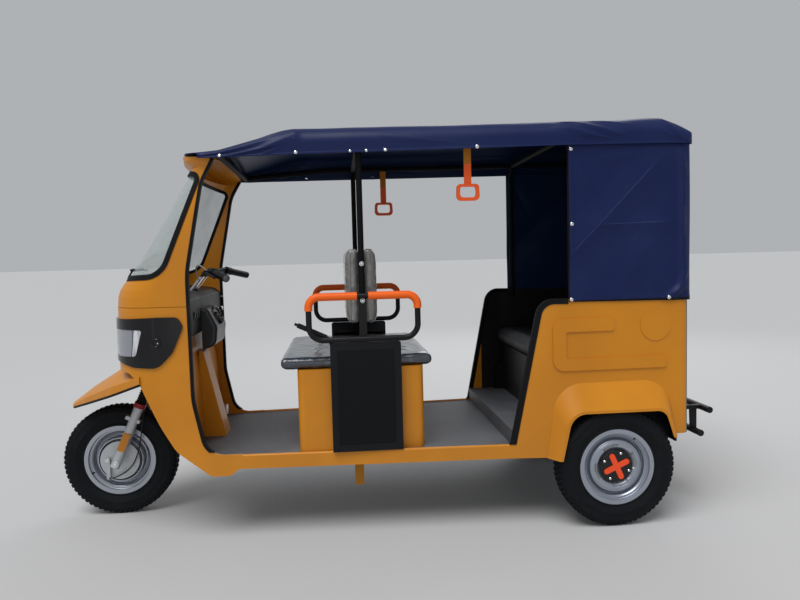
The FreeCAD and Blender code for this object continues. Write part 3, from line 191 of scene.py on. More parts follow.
class Board:
    """The node tree of one material, with one method that makes every node."""

    def __init__(self, name: str) -> None:
        """Makes a material with an empty tree.

        Args:
            name: The material's name.
        """
        self.material = bpy.data.materials.new(name)
        self.material.use_nodes = True
        self.tree = self.material.node_tree
        self.tree.nodes.clear()
        self.where = self.node("ShaderNodeTexCoord", {}, {}, "Object")
        self.x, self.y, self.z = (self.node("ShaderNodeSeparateXYZ", {}, {0: self.where}, way)
                                  for way in "XYZ")

    def node(self, kind: str, settings: dict, inputs: dict, output: object = 0) -> Signal:
        """Adds a node.

        Args:
            kind: The node's type.
            settings: Its properties, set first; "stops" fills a colour ramp.
            inputs: Socket name or index to a value or a Signal.
            output: Name or index of the output to read.

        Returns:
            The output as a Signal.
        """
        made = self.tree.nodes.new(kind)
        for key, value in settings.items():
            if key == "stops":
                ramp = made.color_ramp.elements
                while len(ramp) < len(value):
                    ramp.new(0.5)
                for element, (place, colour) in zip(ramp, value):
                    element.position = place
                    element.color = (*colour, 1.0)
            else:
                setattr(made, key, value)
        for key, value in inputs.items():
            socket = made.inputs[key]
            if isinstance(value, Signal):
                self.tree.links.new(value.socket, socket)
            else:
                socket.default_value = value
        return Signal(self, made.outputs[output])

    def stretched(self, scale: Triple, turn: Triple = (0.0, 0.0, 0.0)) -> Signal:
        """Object coordinates scaled and turned by a Mapping node."""
        return self.node("ShaderNodeMapping", {}, {"Vector": self.where, "Rotation": turn, "Scale": scale})

    def noise(self, scale: float, detail: float = 3.0, rough: float = 0.55, where: Signal | None = None,
              warp: float = 0.0) -> Signal:
        """Fractal noise from 0 to 1 on Object coordinates, in cells a metre."""
        inputs = {"Vector": where or self.where, "Scale": scale, "Detail": detail, "Roughness": rough,
                  "Distortion": warp}
        return self.node("ShaderNodeTexNoise", {}, inputs)

    def cells(self, scale: float, where: Signal | None = None, feature: str = "F1") -> Signal:
        """Distance to the nearest Voronoi point or edge."""
        inputs = {"Vector": where or self.where, "Scale": scale}
        return self.node("ShaderNodeTexVoronoi", {"feature": feature}, inputs)

    def raked(self) -> tuple[Signal, Signal, Signal]:
        """Distances behind the steering axis, off the centre plane, and along the axis from the axle."""
        back, up = self.x - FRONT_AXLE.x, self.z - FRONT_AXLE.z
        return (back * STEER_WAY.z - up * STEER_WAY.x, self.y.size(), back * STEER_WAY.x + up * STEER_WAY.z)

    def patched(self, regions: Sequence[Region], colour: object, roughness: object,
                metallic: object = 0.0) -> dict[str, object]:
        """Lays each region's own colour, roughness and metallic over the finish's.

        Args:
            regions: The regions.
            colour: The finish's colour.
            roughness: Its roughness.
            metallic: Its metallic share.

        Returns:
            The three sockets' values by name.
        """
        for region in regions:
            inside = region.mask(self)
            colour = self.mix(colour, region.colour, inside)
            roughness = roughness + (region.roughness - roughness) * inside
            metallic = metallic + (region.metallic - metallic) * inside
        return {"Base_Color": colour, "Roughness": roughness, "Metallic": metallic}

    def mix(self, first: object, second: object, share: object) -> Signal:
        """Mixes two colours, with share of the second."""
        pair = [(*c, 1.0) if isinstance(c, tuple) else c for c in (first, second)]
        return self.node("ShaderNodeMix", {"data_type": "RGBA"}, {0: share, 6: pair[0], 7: pair[1]}, 2)

    def bump(self, height: Signal, depth: float, strength: float) -> Signal:
        """Normal of a bump whose height is worth depth metres."""
        return self.node("ShaderNodeBump", {}, {"Strength": strength, "Distance": depth, "Height": height})

    def surface(self, **sockets: object) -> bpy.types.Material:
        """Ends the tree in a Principled shader.

        Args:
            sockets: Socket names, with _ for a space, to values or Signals.

        Returns:
            The finished material.
        """
        inputs = {}
        for key, value in sockets.items():
            if isinstance(value, tuple) and len(value) == 3:
                value = (*value, 1.0)
            inputs[key.replace("_", " ")] = value
        shader = self.node("ShaderNodeBsdfPrincipled", {}, inputs)
        end = self.tree.nodes.new("ShaderNodeOutputMaterial")
        self.tree.links.new(shader.socket, end.inputs["Surface"])
        return self.material


@dataclass(frozen=True)
class Finish:
    """A surface finish; its material is made once and shared."""

    name: str
    made: ClassVar[dict[str, bpy.types.Material]] = {}

    def material(self) -> bpy.types.Material:
        """The finish's material, made on first use."""
        if self.name not in self.made:
            self.made[self.name] = self.paint(Board(self.name))
        return self.made[self.name]

    def paint(self, board: Board) -> bpy.types.Material:
        """Builds the node tree; each finish has its own."""
        raise NotImplementedError


@dataclass(frozen=True)
class GlossPaint(Finish):
    """Sprayed paint on sheet metal, with orange peel, road dust low down and slight colour variation."""

    colour: Colour = (0.59, 0.220, 0.006)
    shade: Colour = (0.52, 0.188, 0.005)
    dust: Colour = (0.42, 0.32, 0.18)
    roughness: float = 0.36
    coat: float = 0.12
    dust_top: float = 0.75
    dust_share: float = 0.10
    shine: float = 0.28
    regions: tuple[Region, ...] = ()

    def ground(self, board: Board, cloud: Signal) -> Signal:
        """The paint's own colour, cloudy."""
        return board.mix(self.colour, self.shade, cloud.ramp(0.35, 0.7))

    def paint(self, board: Board) -> bpy.types.Material:
        """Clear-coated colour with peel and dust."""
        cloud = board.noise(2.2, 3.0)
        speck = board.noise(60.0, 5.0, 0.7)
        fine = board.noise(900.0, 2.0)
        low = board.z.ramp(self.dust_top, 0.18, 0.0, 1.0)
        dusty = (low * 0.55 + 0.12) * speck.ramp(0.38, 0.72) * cloud.ramp(0.3, 0.7, 0.4, 1.0)
        dusty = dusty * self.dust_share + low * (0.25 * self.dust_share)
        base = board.mix(self.ground(board, cloud), self.dust, dusty)
        peel = board.noise(170.0, 2.0, 0.4)
        normal = board.bump(peel + fine * 0.25, 0.00022, 0.35)
        rough = dusty.ramp(0.0, 0.5, self.roughness, 0.72) + fine * 0.04
        return board.surface(**board.patched(self.regions, base, rough), Normal=normal, Coat_Roughness=0.09,
                             Coat_Weight=dusty.ramp(0.0, 0.6, self.coat, 0.02),
                             Specular_IOR_Level=self.shine)


@dataclass(frozen=True)
class Plastic(Finish):
    """Moulded plastic or rubber with a fine grain, scuffs and a little dust."""

    colour: Colour = (0.02, 0.02, 0.022)
    roughness: float = 0.45
    grain: float = 900.0
    grain_depth: float = 0.00006
    dust: Colour = (0.25, 0.23, 0.2)
    dust_share: float = 0.06
    coat: float = 0.0
    shine: float = 0.25
    regions: tuple[Region, ...] = ()

    def paint(self, board: Board) -> bpy.types.Material:
        """Grained colour with scuffs."""
        cloud = board.noise(7.0, 4.0)
        scuff = board.noise(40.0, 6.0, 0.75, board.stretched((1.0, 1.0, 0.25)))
        grain = board.noise(self.grain, 2.0)
        dusty = scuff.ramp(0.5, 0.75) * cloud.ramp(0.35, 0.7) * self.dust_share
        base = board.mix(self.colour, self.dust, dusty)
        rough = cloud.ramp(0.2, 0.8, self.roughness - 0.06, self.roughness + 0.08) + dusty * 0.3
        return board.surface(**board.patched(self.regions, base, rough), Coat_Weight=self.coat,
                             Coat_Roughness=0.06, Specular_IOR_Level=self.shine,
                             Normal=board.bump(grain, self.grain_depth, 0.5))


@dataclass(frozen=True)
class Metal(Finish):
    """Bare, plated or silver-painted metal with fine scratches and grime."""

    colour: Colour = (0.55, 0.56, 0.57)
    roughness: float = 0.3
    metallic: float = 1.0
    grime: Colour = (0.09, 0.08, 0.07)
    grime_share: float = 0.35
    brushed: bool = False

    def paint(self, board: Board) -> bpy.types.Material:
        """Metal with grime in patches."""
        patch = board.noise(14.0, 5.0, 0.65)
        scale = (1.0, 1.0, 22.0) if self.brushed else (1.0, 1.0, 1.0)
        scratch = board.noise(260.0, 4.0, 0.7, board.stretched(scale))
        darkening = patch.ramp(0.5, 0.78) * self.grime_share
        base = board.mix(self.colour, self.grime, darkening)
        rough = scratch.ramp(0.25, 0.8, self.roughness - 0.05, self.roughness + 0.12) + darkening * 0.5
        return board.surface(Base_Color=base, Roughness=rough,
                             Metallic=darkening.ramp(0.0, 0.5, self.metallic, self.metallic * 0.3),
                             Normal=board.bump(scratch, 0.00005, 0.4))


@dataclass(frozen=True)
class TurnedMetal(Metal):
    """Silver-painted wheel metal with turned grooves on its disc and pressed pockets round it."""

    centre: Pair = REAR_AXLE
    grooves: Pair = (0.106, 0.152)
    groove_pitch: float = 0.0125
    pockets: Pair = (0.068, 0.098)
    pocket_count: float = 4.0
    pocket_turn: float = 0.6

    def relief(self, board: Board) -> Signal:
        """Height of the grooves and the pockets, in shares of their depth."""
        across, up = board.x - self.centre[0], board.z - self.centre[1]
        radius = (across * across + up * up).root()
        angle = up.angle(across)
        low, high = self.grooves
        turned = (radius * (math.tau / self.groove_pitch)).sine()
        turned = turned * radius.ramp(low, low + 0.003) * radius.ramp(high, high - 0.003)
        low, high = self.pockets
        pressed = (angle * self.pocket_count + self.pocket_turn).sine().ramp(-0.35, 0.25)
        pressed = pressed * radius.ramp(low, low + 0.006) * radius.ramp(high, high - 0.006)
        return turned * 0.3 - pressed

    def paint(self, board: Board) -> bpy.types.Material:
        """The metal with its relief, with grime in patches and painted shade in its grooves and pockets."""
        relief = self.relief(board)
        patch = board.noise(14.0, 5.0, 0.65)
        scratch = board.noise(260.0, 4.0, 0.7)
        # Grime in patches, plus painted shade: the grime colour laid into the grooves and pockets of the
        # relief.
        darkening = patch.ramp(0.5, 0.78) * self.grime_share + relief.ramp(-0.1, -1.0) * 0.30
        base = board.mix(self.colour, self.grime, darkening)
        rough = scratch.ramp(0.25, 0.8, self.roughness - 0.05, self.roughness + 0.12) + darkening * 0.4
        return board.surface(Base_Color=base, Roughness=rough, Metallic=self.metallic,
                             Normal=board.bump(relief + scratch * 0.01, 0.0045, 0.9))


@dataclass(frozen=True)
class Glass(Finish):
    """Clear sheet, seen through by its alpha, with dust smears."""

    colour: Colour = (0.35, 0.42, 0.38)
    alpha: float = 0.28
    roughness: float = 0.04
    smear: float = 0.12

    def paint(self, board: Board) -> bpy.types.Material:
        """Tinted alpha, denser where the dust lies."""
        streak = board.noise(6.0, 5.0, 0.6, board.stretched((1.0, 1.0, 0.4)))
        film = streak.ramp(0.42, 0.75) * self.smear
        return board.surface(Base_Color=self.colour, Alpha=film + self.alpha,
                             Roughness=film.ramp(0.0, 0.3, self.roughness, 0.35), Specular_IOR_Level=0.6,
                             Coat_Weight=0.6, Coat_Roughness=0.03)


@dataclass(frozen=True)
class Canvas(Finish):
    """Coated tarpaulin: close weave under a laminate that shines where it is tight, with rubbed creases.

    Its lines are storage folds, the ends of each in X and Z. Its hem lies before the station hem and below
    the height foot.
    """

    colour: Colour = (0.0062, 0.0135, 0.070)
    pale: Colour = (0.030, 0.050, 0.14)
    roughness: float = 0.42
    weave: float = 720.0
    lines: tuple[tuple[float, float, float, float], ...] = ()
    hem: float | None = None
    foot: float = 0.0

    def rubbed(self, board: Board) -> Signal | float:
        """1 on the storage folds."""
        total = 0.0
        for x0, z0, x1, z1 in self.lines:
            length = math.hypot(x1 - x0, z1 - z0)
            along = ((board.x - x0) * (x1 - x0) + (board.z - z0) * (z1 - z0)) * (1.0 / length)
            gap = ((board.x - x0) * (z1 - z0) - (board.z - z0) * (x1 - x0)) * (1.0 / length)
            ends = along.ramp(0.0, 0.06) * along.ramp(length, length - 0.08)
            total = total + gap.size().ramp(0.0032, 0.0006) * ends
        return total

    def paint(self, board: Board) -> bpy.types.Material:
        """Weave, creases and cloudy wear."""
        cloud = board.noise(3.0, 4.0)
        small = board.noise(38.0, 5.0, 0.7)
        crease = board.cells(3.2, board.stretched((1.0, 1.0, 1.0), (0.2, 0.5, 0.1)), "DISTANCE_TO_EDGE")
        worn = crease.ramp(0.008, 0.0) * small.ramp(0.4, 0.7) * 0.16 + cloud.ramp(0.45, 0.8) * 0.14
        worn = worn + self.rubbed(board) * small.ramp(0.25, 0.6, 0.25, 0.75)
        x, y, z = ((way * self.weave).sine() for way in (board.x, board.y, board.z))
        threads = x * z + y * x
        height = threads * 0.08 + small * 0.35 + crease.ramp(0.02, 0.0) * 0.3
        base = board.mix(self.colour, self.pale, worn)
        if self.hem is not None:
            edge = (board.x < self.hem) + (board.z < self.foot)
            base = board.mix(base, (0.002, 0.002, 0.003), edge)
        rough = cloud.ramp(0.3, 0.75, self.roughness - 0.06, self.roughness + 0.12)
        return board.surface(Base_Color=base, Roughness=rough, Specular_IOR_Level=0.16, Coat_Weight=0.02,
                             Coat_Roughness=0.3, Normal=board.bump(height, 0.0008, 0.5))


@dataclass(frozen=True)
class WrappedVinyl(Finish):
    """Coated seat cover under the clear film it was delivered in: fine streaks of light along tight film."""

    colour: Colour = (0.016, 0.024, 0.038)
    # Pale is the colour of the painted film highlights.
    pale: Colour = (0.24, 0.33, 0.42)
    share: float = 0.50
    film: float = 1.0
    streak: Colour = (0.22, 1.0, 1.0)
    turn: Colour = (0.0, 0.0, 0.30)

    def paint(self, board: Board) -> bpy.types.Material:
        """Film creases in two sizes, drawn out along the pull, with painted highlights along them."""
        pulled = board.stretched(self.streak, self.turn)
        crease = board.noise(34.0, 6.0, 0.68, pulled, 1.2)
        fine = board.noise(120.0, 5.0, 0.7, pulled, 0.6)
        # Pale streaks along the creases: painted highlights on the clear film.
        bright = crease.ramp(0.52, 0.74) * self.share + fine.ramp(0.56, 0.78) * self.share
        base = board.mix(self.colour, self.pale, bright)
        height = crease * 0.8 + fine * 0.35
        return board.surface(Base_Color=base, Roughness=bright.ramp(0.0, 0.7, 0.34, 0.2),
                             Coat_Weight=self.film, Coat_Roughness=0.12,
                             Normal=board.bump(height, 0.0045, 0.55))


@dataclass(frozen=True)
class LampLens(Finish):
    """Moulded lamp lens on its bright reflector, in an outer and an inner field with a dark bar between."""

    outer: Colour = (0.26, 0.27, 0.31)
    inner: Colour = (0.74, 0.76, 0.80)
    bar: Colour = (0.03, 0.03, 0.035)
    split: float = -1.071
    lean: float = 0.12
    height: float = 0.868
    row_density: float = 1500.0
    rib_density: float = 520.0

    def paint(self, board: Board) -> bpy.types.Material:
        """Ribbed fields with painted reflections of the reflector behind, as dark streaks."""
        place = board.x - self.split - (board.z - self.height) * self.lean
        streak = board.noise(24.0, 4.0, 0.6, board.stretched((1.0, 1.0, 0.16)))
        rows = (board.z * self.row_density).sine()
        ribs = (board.x * self.rib_density).sine()
        right = place > 0.0
        base = board.mix(self.outer, self.inner, right)
        # Dark streaks over both fields: painted reflections of the reflector.
        base = board.mix(base, (0.10, 0.10, 0.12), streak.ramp(0.45, 0.7) * 0.75)
        base = board.mix(base, self.bar, place.size() < 0.0022)
        height = rows * right * 0.6 + ribs * (1.0 - right) * 0.8
        return board.surface(Base_Color=base, Roughness=streak.ramp(0.3, 0.7, 0.14, 0.3), Metallic=0.35,
                             Coat_Weight=1.0, Coat_Roughness=0.03, Normal=board.bump(height, 0.0006, 0.6))


@dataclass(frozen=True)
class Leatherette(Finish):
    """Embossed seat cover with grain and a soft shine."""

    colour: Colour = (0.006, 0.0065, 0.009)
    pale: Colour = (0.012, 0.013, 0.016)

    def paint(self, board: Board) -> bpy.types.Material:
        """Pebbled grain with worn highs."""
        grain = board.cells(420.0)
        wear = board.noise(9.0, 4.0)
        base = board.mix(self.colour, self.pale, wear.ramp(0.5, 0.8) * 0.6)
        height = grain.ramp(0.0, 0.7) + wear * 0.5
        return board.surface(Base_Color=base, Roughness=wear.ramp(0.3, 0.7, 0.42, 0.55),
                             Normal=board.bump(height, 0.0005, 0.7))


@dataclass(frozen=True)
class Tread(Finish):
    """Tyre rubber with dust in the tread and fine rings on the walls."""

    colour: Colour = (0.0045, 0.0055, 0.0075)
    dust: Colour = (0.030, 0.030, 0.030)

    def paint(self, board: Board) -> bpy.types.Material:
        """Matt rubber, dusty in patches."""
        cloud = board.noise(9.0, 5.0, 0.65)
        speck = board.noise(110.0, 5.0, 0.7)
        dusty = cloud.ramp(0.35, 0.75) * speck.ramp(0.4, 0.75) * 0.5 + 0.05
        base = board.mix(self.colour, self.dust, dusty)
        return board.surface(Base_Color=base, Roughness=dusty.ramp(0.0, 0.5, 0.55, 0.85),
                             Specular_IOR_Level=0.10, Normal=board.bump(speck, 0.0004, 0.6))


@dataclass(frozen=True)
class FloorMat(Finish):
    """Dark mat with fine lengthwise ribs, trodden dust and pale scuffs."""

    colour: Colour = (0.068, 0.073, 0.084)
    dust: Colour = (0.20, 0.20, 0.21)

    def paint(self, board: Board) -> bpy.types.Material:
        """Ribs along the floor with dust between them."""
        ribs = (board.x * 620.0).sine()
        cloud = board.noise(4.0, 5.0, 0.6)
        smear = board.noise(12.0, 6.0, 0.7, board.stretched((0.5, 1.0, 1.0)))
        dusty = cloud.ramp(0.35, 0.7) * 0.35 + smear.ramp(0.5, 0.75) * 0.3 + ribs.ramp(0.2, -1.0) * 0.12
        base = board.mix(self.colour, self.dust, dusty)
        return board.surface(Base_Color=base, Roughness=dusty.ramp(0.0, 0.7, 0.55, 0.85),
                             Normal=board.bump(ribs * 0.5 + smear * 0.3, 0.001, 0.6))


@dataclass(frozen=True)
class QuarterPaint(GlossPaint):
    """Body paint outside and black inside, as painted shade of the enclosed rear body, split at the wall's
    own middle.
    """

    # Black of the inner half: painted shade inside the rear body.
    inner: Colour = (0.008, 0.008, 0.009)
    front: float = 0.54
    bend: float = 0.21
    middle: float = 0.4795
    spread: float = 0.0245
    rear: float = 1.3497

    def ground(self, board: Board, cloud: Signal) -> Signal:
        """Body paint on the outer half of the wall, black on the inner half as painted shade."""
        reach = (board.x - self.front).ramp(0.0, self.bend, self.middle, self.middle + self.spread)
        outside = (board.y.size() > reach) + (board.x > self.rear)
        return board.mix(self.inner, super().ground(board, cloud), outside)


BODY_PAINT = GlossPaint("orange_paint")
QUARTER_PAINT = QuarterPaint("quarter_paint")
# Black gloss; its region darkens the side panels' recessed field as a painted darker reflection in the
# recess.
BLACK_GLOSS = GlossPaint("black_gloss", colour=(0.0035, 0.0048, 0.0068), shade=(0.0045, 0.006, 0.008),
                         dust=(0.10, 0.09, 0.08), roughness=0.16, coat=0.10, dust_share=0.03, shine=0.14,
                         regions=(Region((0.0009, 0.0012, 0.002), (-0.2045, None, 0.402),
                                         (0.0405, None, 0.810), roughness=0.09),))
FRAME_BLACK = GlossPaint("frame_black", colour=(0.005, 0.005, 0.006), shade=(0.008, 0.008, 0.009),
                         dust=(0.12, 0.10, 0.09), roughness=0.36, coat=0.04, dust_share=0.05, shine=0.18)
ROOF_FRAME = GlossPaint("roof_frame_black", colour=(0.004, 0.0045, 0.0055), shade=(0.005, 0.005, 0.006),
                        dust=(0.08, 0.07, 0.06), roughness=0.62, coat=0.0, dust_share=0.03, shine=0.10)
CHASSIS_BLACK = GlossPaint("chassis_enamel", colour=(0.008, 0.008, 0.008), shade=(0.014, 0.014, 0.013),
                           dust=(0.14, 0.12, 0.10), roughness=0.5, coat=0.0, dust_top=0.9, dust_share=0.4,
                           shine=0.2, regions=(
                               Region((0.42, 0.17, 0.01), (-0.145, 0.26, None), (-0.09, 0.31, 0.306)),))
LAMP_BLACK = Plastic("gloss_black_plastic", colour=(0.003, 0.003, 0.004), roughness=0.16,
                     grain_depth=0.00002, coat=0.25, dust_share=0.02, shine=0.2)
TRIM_RUBBER = Plastic("trim_rubber", colour=(0.004, 0.004, 0.005), roughness=0.6, dust_share=0.05, shine=0.15)
DASH_PLASTIC = Plastic("dash_plastic", colour=(0.010, 0.010, 0.011), roughness=0.45, grain=520.0,
                       grain_depth=0.0002)
POD_PLASTIC = Plastic("pod_plastic", colour=(0.020, 0.022, 0.024), roughness=0.36, grain=520.0,
                      grain_depth=0.00012, coat=0.2)
CASE_GREY = Plastic("case_grey", colour=(0.10, 0.10, 0.11), roughness=0.5)
ORANGE_PLASTIC = Plastic("orange_plastic", colour=(0.88, 0.130, 0.009), roughness=0.36, grain=300.0,
                         grain_depth=0.0001)
STRAP_FINISH = Plastic("strap_and_ring", colour=(0.80, 0.10, 0.012), roughness=0.4, grain=650.0,
                       grain_depth=0.0003, regions=(
                           Region((0.42, 0.15, 0.012), (None, None, 1.598), roughness=0.7),))
AMBER_LENS = Plastic("amber_reflector", colour=(0.46, 0.165, 0.006), roughness=0.2, coat=0.4, dust_share=0.05)
TAIL_LENS = Plastic("tail_lens", colour=(0.36, 0.006, 0.005), roughness=0.14, coat=0.8, dust_share=0.03,
                    regions=(Region((0.72, 0.20, 0.008), (None, None, 0.672), roughness=0.14),
                             Region((0.58, 0.58, 0.60), high=(None, None, 0.604), roughness=0.14),
                             Region((0.02, 0.02, 0.02), (None, None, 0.602), (None, None, 0.606)),
                             Region((0.02, 0.02, 0.02), (None, None, 0.670), (None, None, 0.674))))
HUB_FINISH = Plastic("hub_cover", colour=(0.006, 0.006, 0.007), roughness=0.3, coat=0.3, regions=(
    Region((0.86, 0.075, 0.012), (None, 0.5413, None), roughness=0.4),))
BOOT_RUBBER = Plastic("boot_rubber", colour=(0.006, 0.006, 0.006), roughness=0.5, regions=(
    Region((0.26, 0.008, 0.012), high=(None, None, 0.3125), roughness=0.28, raked=True),))
CABLE_SHEATH = Plastic("cable_sheath", colour=(0.006, 0.006, 0.007), roughness=0.4, coat=0.3, regions=(
    Region((0.36, 0.37, 0.38), (None, None, 0.9), roughness=0.35),))
BAR_FINISH = Plastic("bar_black", colour=(0.007, 0.007, 0.009), roughness=0.4, grain=700.0,
                     grain_depth=0.0002, regions=(
                         Region((0.68, 0.69, 0.71), high=(None, 0.0158, 1.134), roughness=0.14,
                                metallic=1.0),))
REAR_RIM = TurnedMetal("rear_rim_silver", colour=(0.36, 0.39, 0.45), metallic=0.8, grime_share=0.12)
FRONT_RIM = TurnedMetal("front_rim_silver", colour=(0.40, 0.42, 0.47), metallic=0.8, grime_share=0.15,
                        centre=(FRONT_AXLE.x, FRONT_AXLE.z), grooves=(0.038, 0.152), groove_pitch=0.0135,
                        pockets=(0.015, 0.034), pocket_count=5.0)
FORK_SILVER = Metal("fork_silver_paint", colour=(0.46, 0.48, 0.50), roughness=0.36, metallic=0.5,
                    grime_share=0.12)
CAST_ALLOY = Metal("cast_alloy", colour=(0.36, 0.36, 0.37), roughness=0.42, metallic=0.8, grime_share=0.45)
CHROME = Metal("chrome_plate", colour=(0.72, 0.73, 0.74), roughness=0.1, grime_share=0.06)
STEEL = Metal("bare_steel", colour=(0.42, 0.41, 0.40), roughness=0.34, brushed=True)
SCREEN_GLASS = Glass("screen_glass", colour=(0.42, 0.50, 0.48), alpha=0.22)
DIAL_GLASS = Glass("dial_glass", colour=(0.02, 0.02, 0.02), alpha=0.08, smear=0.02)
LENS_CLEAR = LampLens("lens_clear")
CANVAS = Canvas("navy_canvas")
CURTAIN = Canvas("navy_curtain", lines=((0.802, 1.190, 1.205, 1.600), (0.930, 1.322, 1.262, 1.330)),
                 hem=0.8045, foot=0.9965)
# Inner face of the tarpaulin: painted shade under the cover.
SHADED_CANVAS_INSIDE = Canvas("navy_canvas_inside", colour=(0.0065, 0.0185, 0.060), pale=(0.012, 0.026, 0.075))
WRAPPED = WrappedVinyl("film_wrapped_seat")
WRAPPED_PAD = WrappedVinyl("film_wrapped_pad", colour=(0.17, 0.17, 0.16), pale=(0.66, 0.68, 0.67), share=0.7,
                           streak=(1.0, 1.0, 0.2), turn=(0.0, 0.12, 0.0))
BENCH_VINYL = Leatherette("bench_vinyl")
TYRE_RUBBER = Tread("tyre_rubber")
MAT = FloorMat("ribbed_floor_mat")
PLATE_WHITE = Plastic("plate_white", colour=(0.62, 0.62, 0.58), roughness=0.4)
DIAL_WHITE = Plastic("dial_white", colour=(0.75, 0.75, 0.75), roughness=0.5)
NEEDLE_RED = Plastic("needle_red", colour=(0.70, 0.03, 0.01), roughness=0.4)


class Workbench:
    """Modelling steps shared by the sub-assemblies, done with Blender's own operators."""

    merge_gap: ClassVar[float] = 1e-5
    bar_smooth: ClassVar[float] = 60.0
    washer_share: ClassVar[float] = 0.16
    washer_width: ClassVar[float] = 1.3

    @staticmethod
    def clear() -> None:
        """Leaves edit mode and deselects everything."""
        if bpy.context.mode != "OBJECT":
            bpy.ops.object.mode_set(mode="OBJECT")
        bpy.ops.object.select_all(action="DESELECT")

    @classmethod
    def pick(cls, *pieces: Piece) -> None:
        """Selects pieces, the first one active."""
        cls.clear()
        for piece in pieces:
            piece.select_set(True)
        bpy.context.view_layer.objects.active = pieces[0]

    @classmethod
    def settle(cls, piece: Piece, name: str) -> Piece:
        """Names a piece and moves its place, turn and scale into its mesh."""
        cls.pick(piece)
        bpy.ops.object.transform_apply(location=True, rotation=True, scale=True)
        piece.name = name
        return piece

    @classmethod
    def modify(cls, piece: Piece, kind: str, **settings: object) -> Piece:
        """Adds a modifier and applies it.

        Args:
            piece: The piece to change.
            kind: The modifier's type.
            settings: Its properties.

        Returns:
            The same piece.
        """
        cls.pick(piece)
        made = piece.modifiers.new(kind.lower(), kind)
        for key, value in settings.items():
            setattr(made, key, value)
        bpy.ops.object.modifier_apply(modifier=made.name)
        return piece

    @classmethod
    def smooth(cls, piece: Piece, degrees: float = 35.0) -> Piece:
        """Shades a piece smooth up to an edge angle."""
        cls.pick(piece)
        bpy.ops.object.shade_smooth_by_angle(angle=math.radians(degrees))
        return piece

    @classmethod
    def block(cls, name: str, low: Point, high: Point, edge: float = 0.0,
              steps: int = 2) -> Piece:
        """A block between two corners with rounded edges.

        Args:
            name: The piece's name.
            low: Its lowest corner.
            high: Its highest corner.
            edge: Radius of its edges.
            steps: Segments of each rounded edge.

        Returns:
            The finished piece.
        """
        cls.clear()
        low, high = Vector(low), Vector(high)
        bpy.ops.mesh.primitive_cube_add(size=1.0, location=(low + high) / 2, scale=high - low)
        piece = cls.settle(bpy.context.object, name)
        if edge:
            cls.modify(piece, "BEVEL", width=edge, segments=steps, limit_method="NONE")
        return cls.smooth(piece)

    @classmethod
    def rod(cls, name: str, start: Point, end: Point, radius: float, sides: int = 24,
            edge: float = 0.0) -> Piece:
        """A round bar, or a bolt head with few sides, between two points.

        Args:
            name: The piece's name.
            start: Centre of its one end.
            end: Centre of its other end.
            radius: Its radius.
            sides: Sides round.
            edge: Radius of the edges at its ends.

        Returns:
            The finished piece.
        """
        cls.clear()
        start, end = Vector(start), Vector(end)
        way = end - start
        bpy.ops.mesh.primitive_cylinder_add(vertices=sides, radius=radius, depth=way.length,
                                            location=(start + end) / 2,
                                            rotation=way.to_track_quat("Z", "Y").to_euler())
        piece = cls.settle(bpy.context.object, name)
        if edge:
            cls.modify(piece, "BEVEL", width=edge, segments=2, limit_method="ANGLE",
                       angle_limit=math.radians(50))
        return cls.smooth(piece)

    @classmethod
    def lathe(cls, name: str, rows: Rows, axis: Vector, steps: int, closed: bool = False) -> Piece:
        """A turned piece, spun round an axis through the origin from a drawn profile.

        Args:
            name: The piece's name.
            rows: Profile points as (radius, distance along the axis).
            axis: The axis.
            steps: Segments round.
            closed: Whether the profile's last point joins its first.

        Returns:
            The finished piece.
        """
        cls.clear()
        out = axis.orthogonal().normalized()
        points = [out * radius + axis * along for radius, along in rows]
        bpy.ops.mesh.primitive_plane_add(size=0.001)
        piece = bpy.context.object
        bpy.ops.object.mode_set(mode="EDIT")
        bpy.ops.mesh.select_all(action="SELECT")
        bpy.ops.mesh.merge(type="CENTER")
        bpy.ops.transform.translate(value=points[0])
        for before, after in zip(points, points[1:]):
            bpy.ops.mesh.extrude_region_move(TRANSFORM_OT_translate={"value": after - before})
        if closed:
            bpy.ops.mesh.select_all(action="DESELECT")
            bpy.ops.object.mode_set(mode="OBJECT")
            for vertex in piece.data.vertices:
                gap = min((vertex.co - end).length for end in (points[0], points[-1]))
                vertex.select = gap < cls.merge_gap
            bpy.ops.object.mode_set(mode="EDIT")
            bpy.ops.mesh.edge_face_add()
        bpy.ops.mesh.select_all(action="SELECT")
        bpy.ops.mesh.spin(steps=steps, angle=math.tau, center=ORIGIN, axis=axis)
        bpy.ops.mesh.select_all(action="SELECT")
        bpy.ops.mesh.remove_doubles(threshold=cls.merge_gap)
        bpy.ops.mesh.normals_make_consistent(inside=False)
        bpy.ops.object.mode_set(mode="OBJECT")
        piece.name = name
        return cls.smooth(piece)

    @classmethod
    def sheet(cls, name: str, count: tuple[int, int], place: Callable[[float, float], Vector]) -> Piece:
        """A grid whose points are placed by a function of two shares from 0 to 1.

        Args:
            name: The piece's name.
            count: Cells each way.
            place: Gives the point at two shares.

        Returns:
            The finished piece.
        """
        cls.clear()
        bpy.ops.mesh.primitive_grid_add(x_subdivisions=count[0], y_subdivisions=count[1], size=2.0)
        piece = bpy.context.object
        piece.name = name
        for vertex in piece.data.vertices:
            vertex.co = place((vertex.co.x + 1.0) / 2.0, (vertex.co.y + 1.0) / 2.0)
        return cls.smooth(piece, cls.bar_smooth)

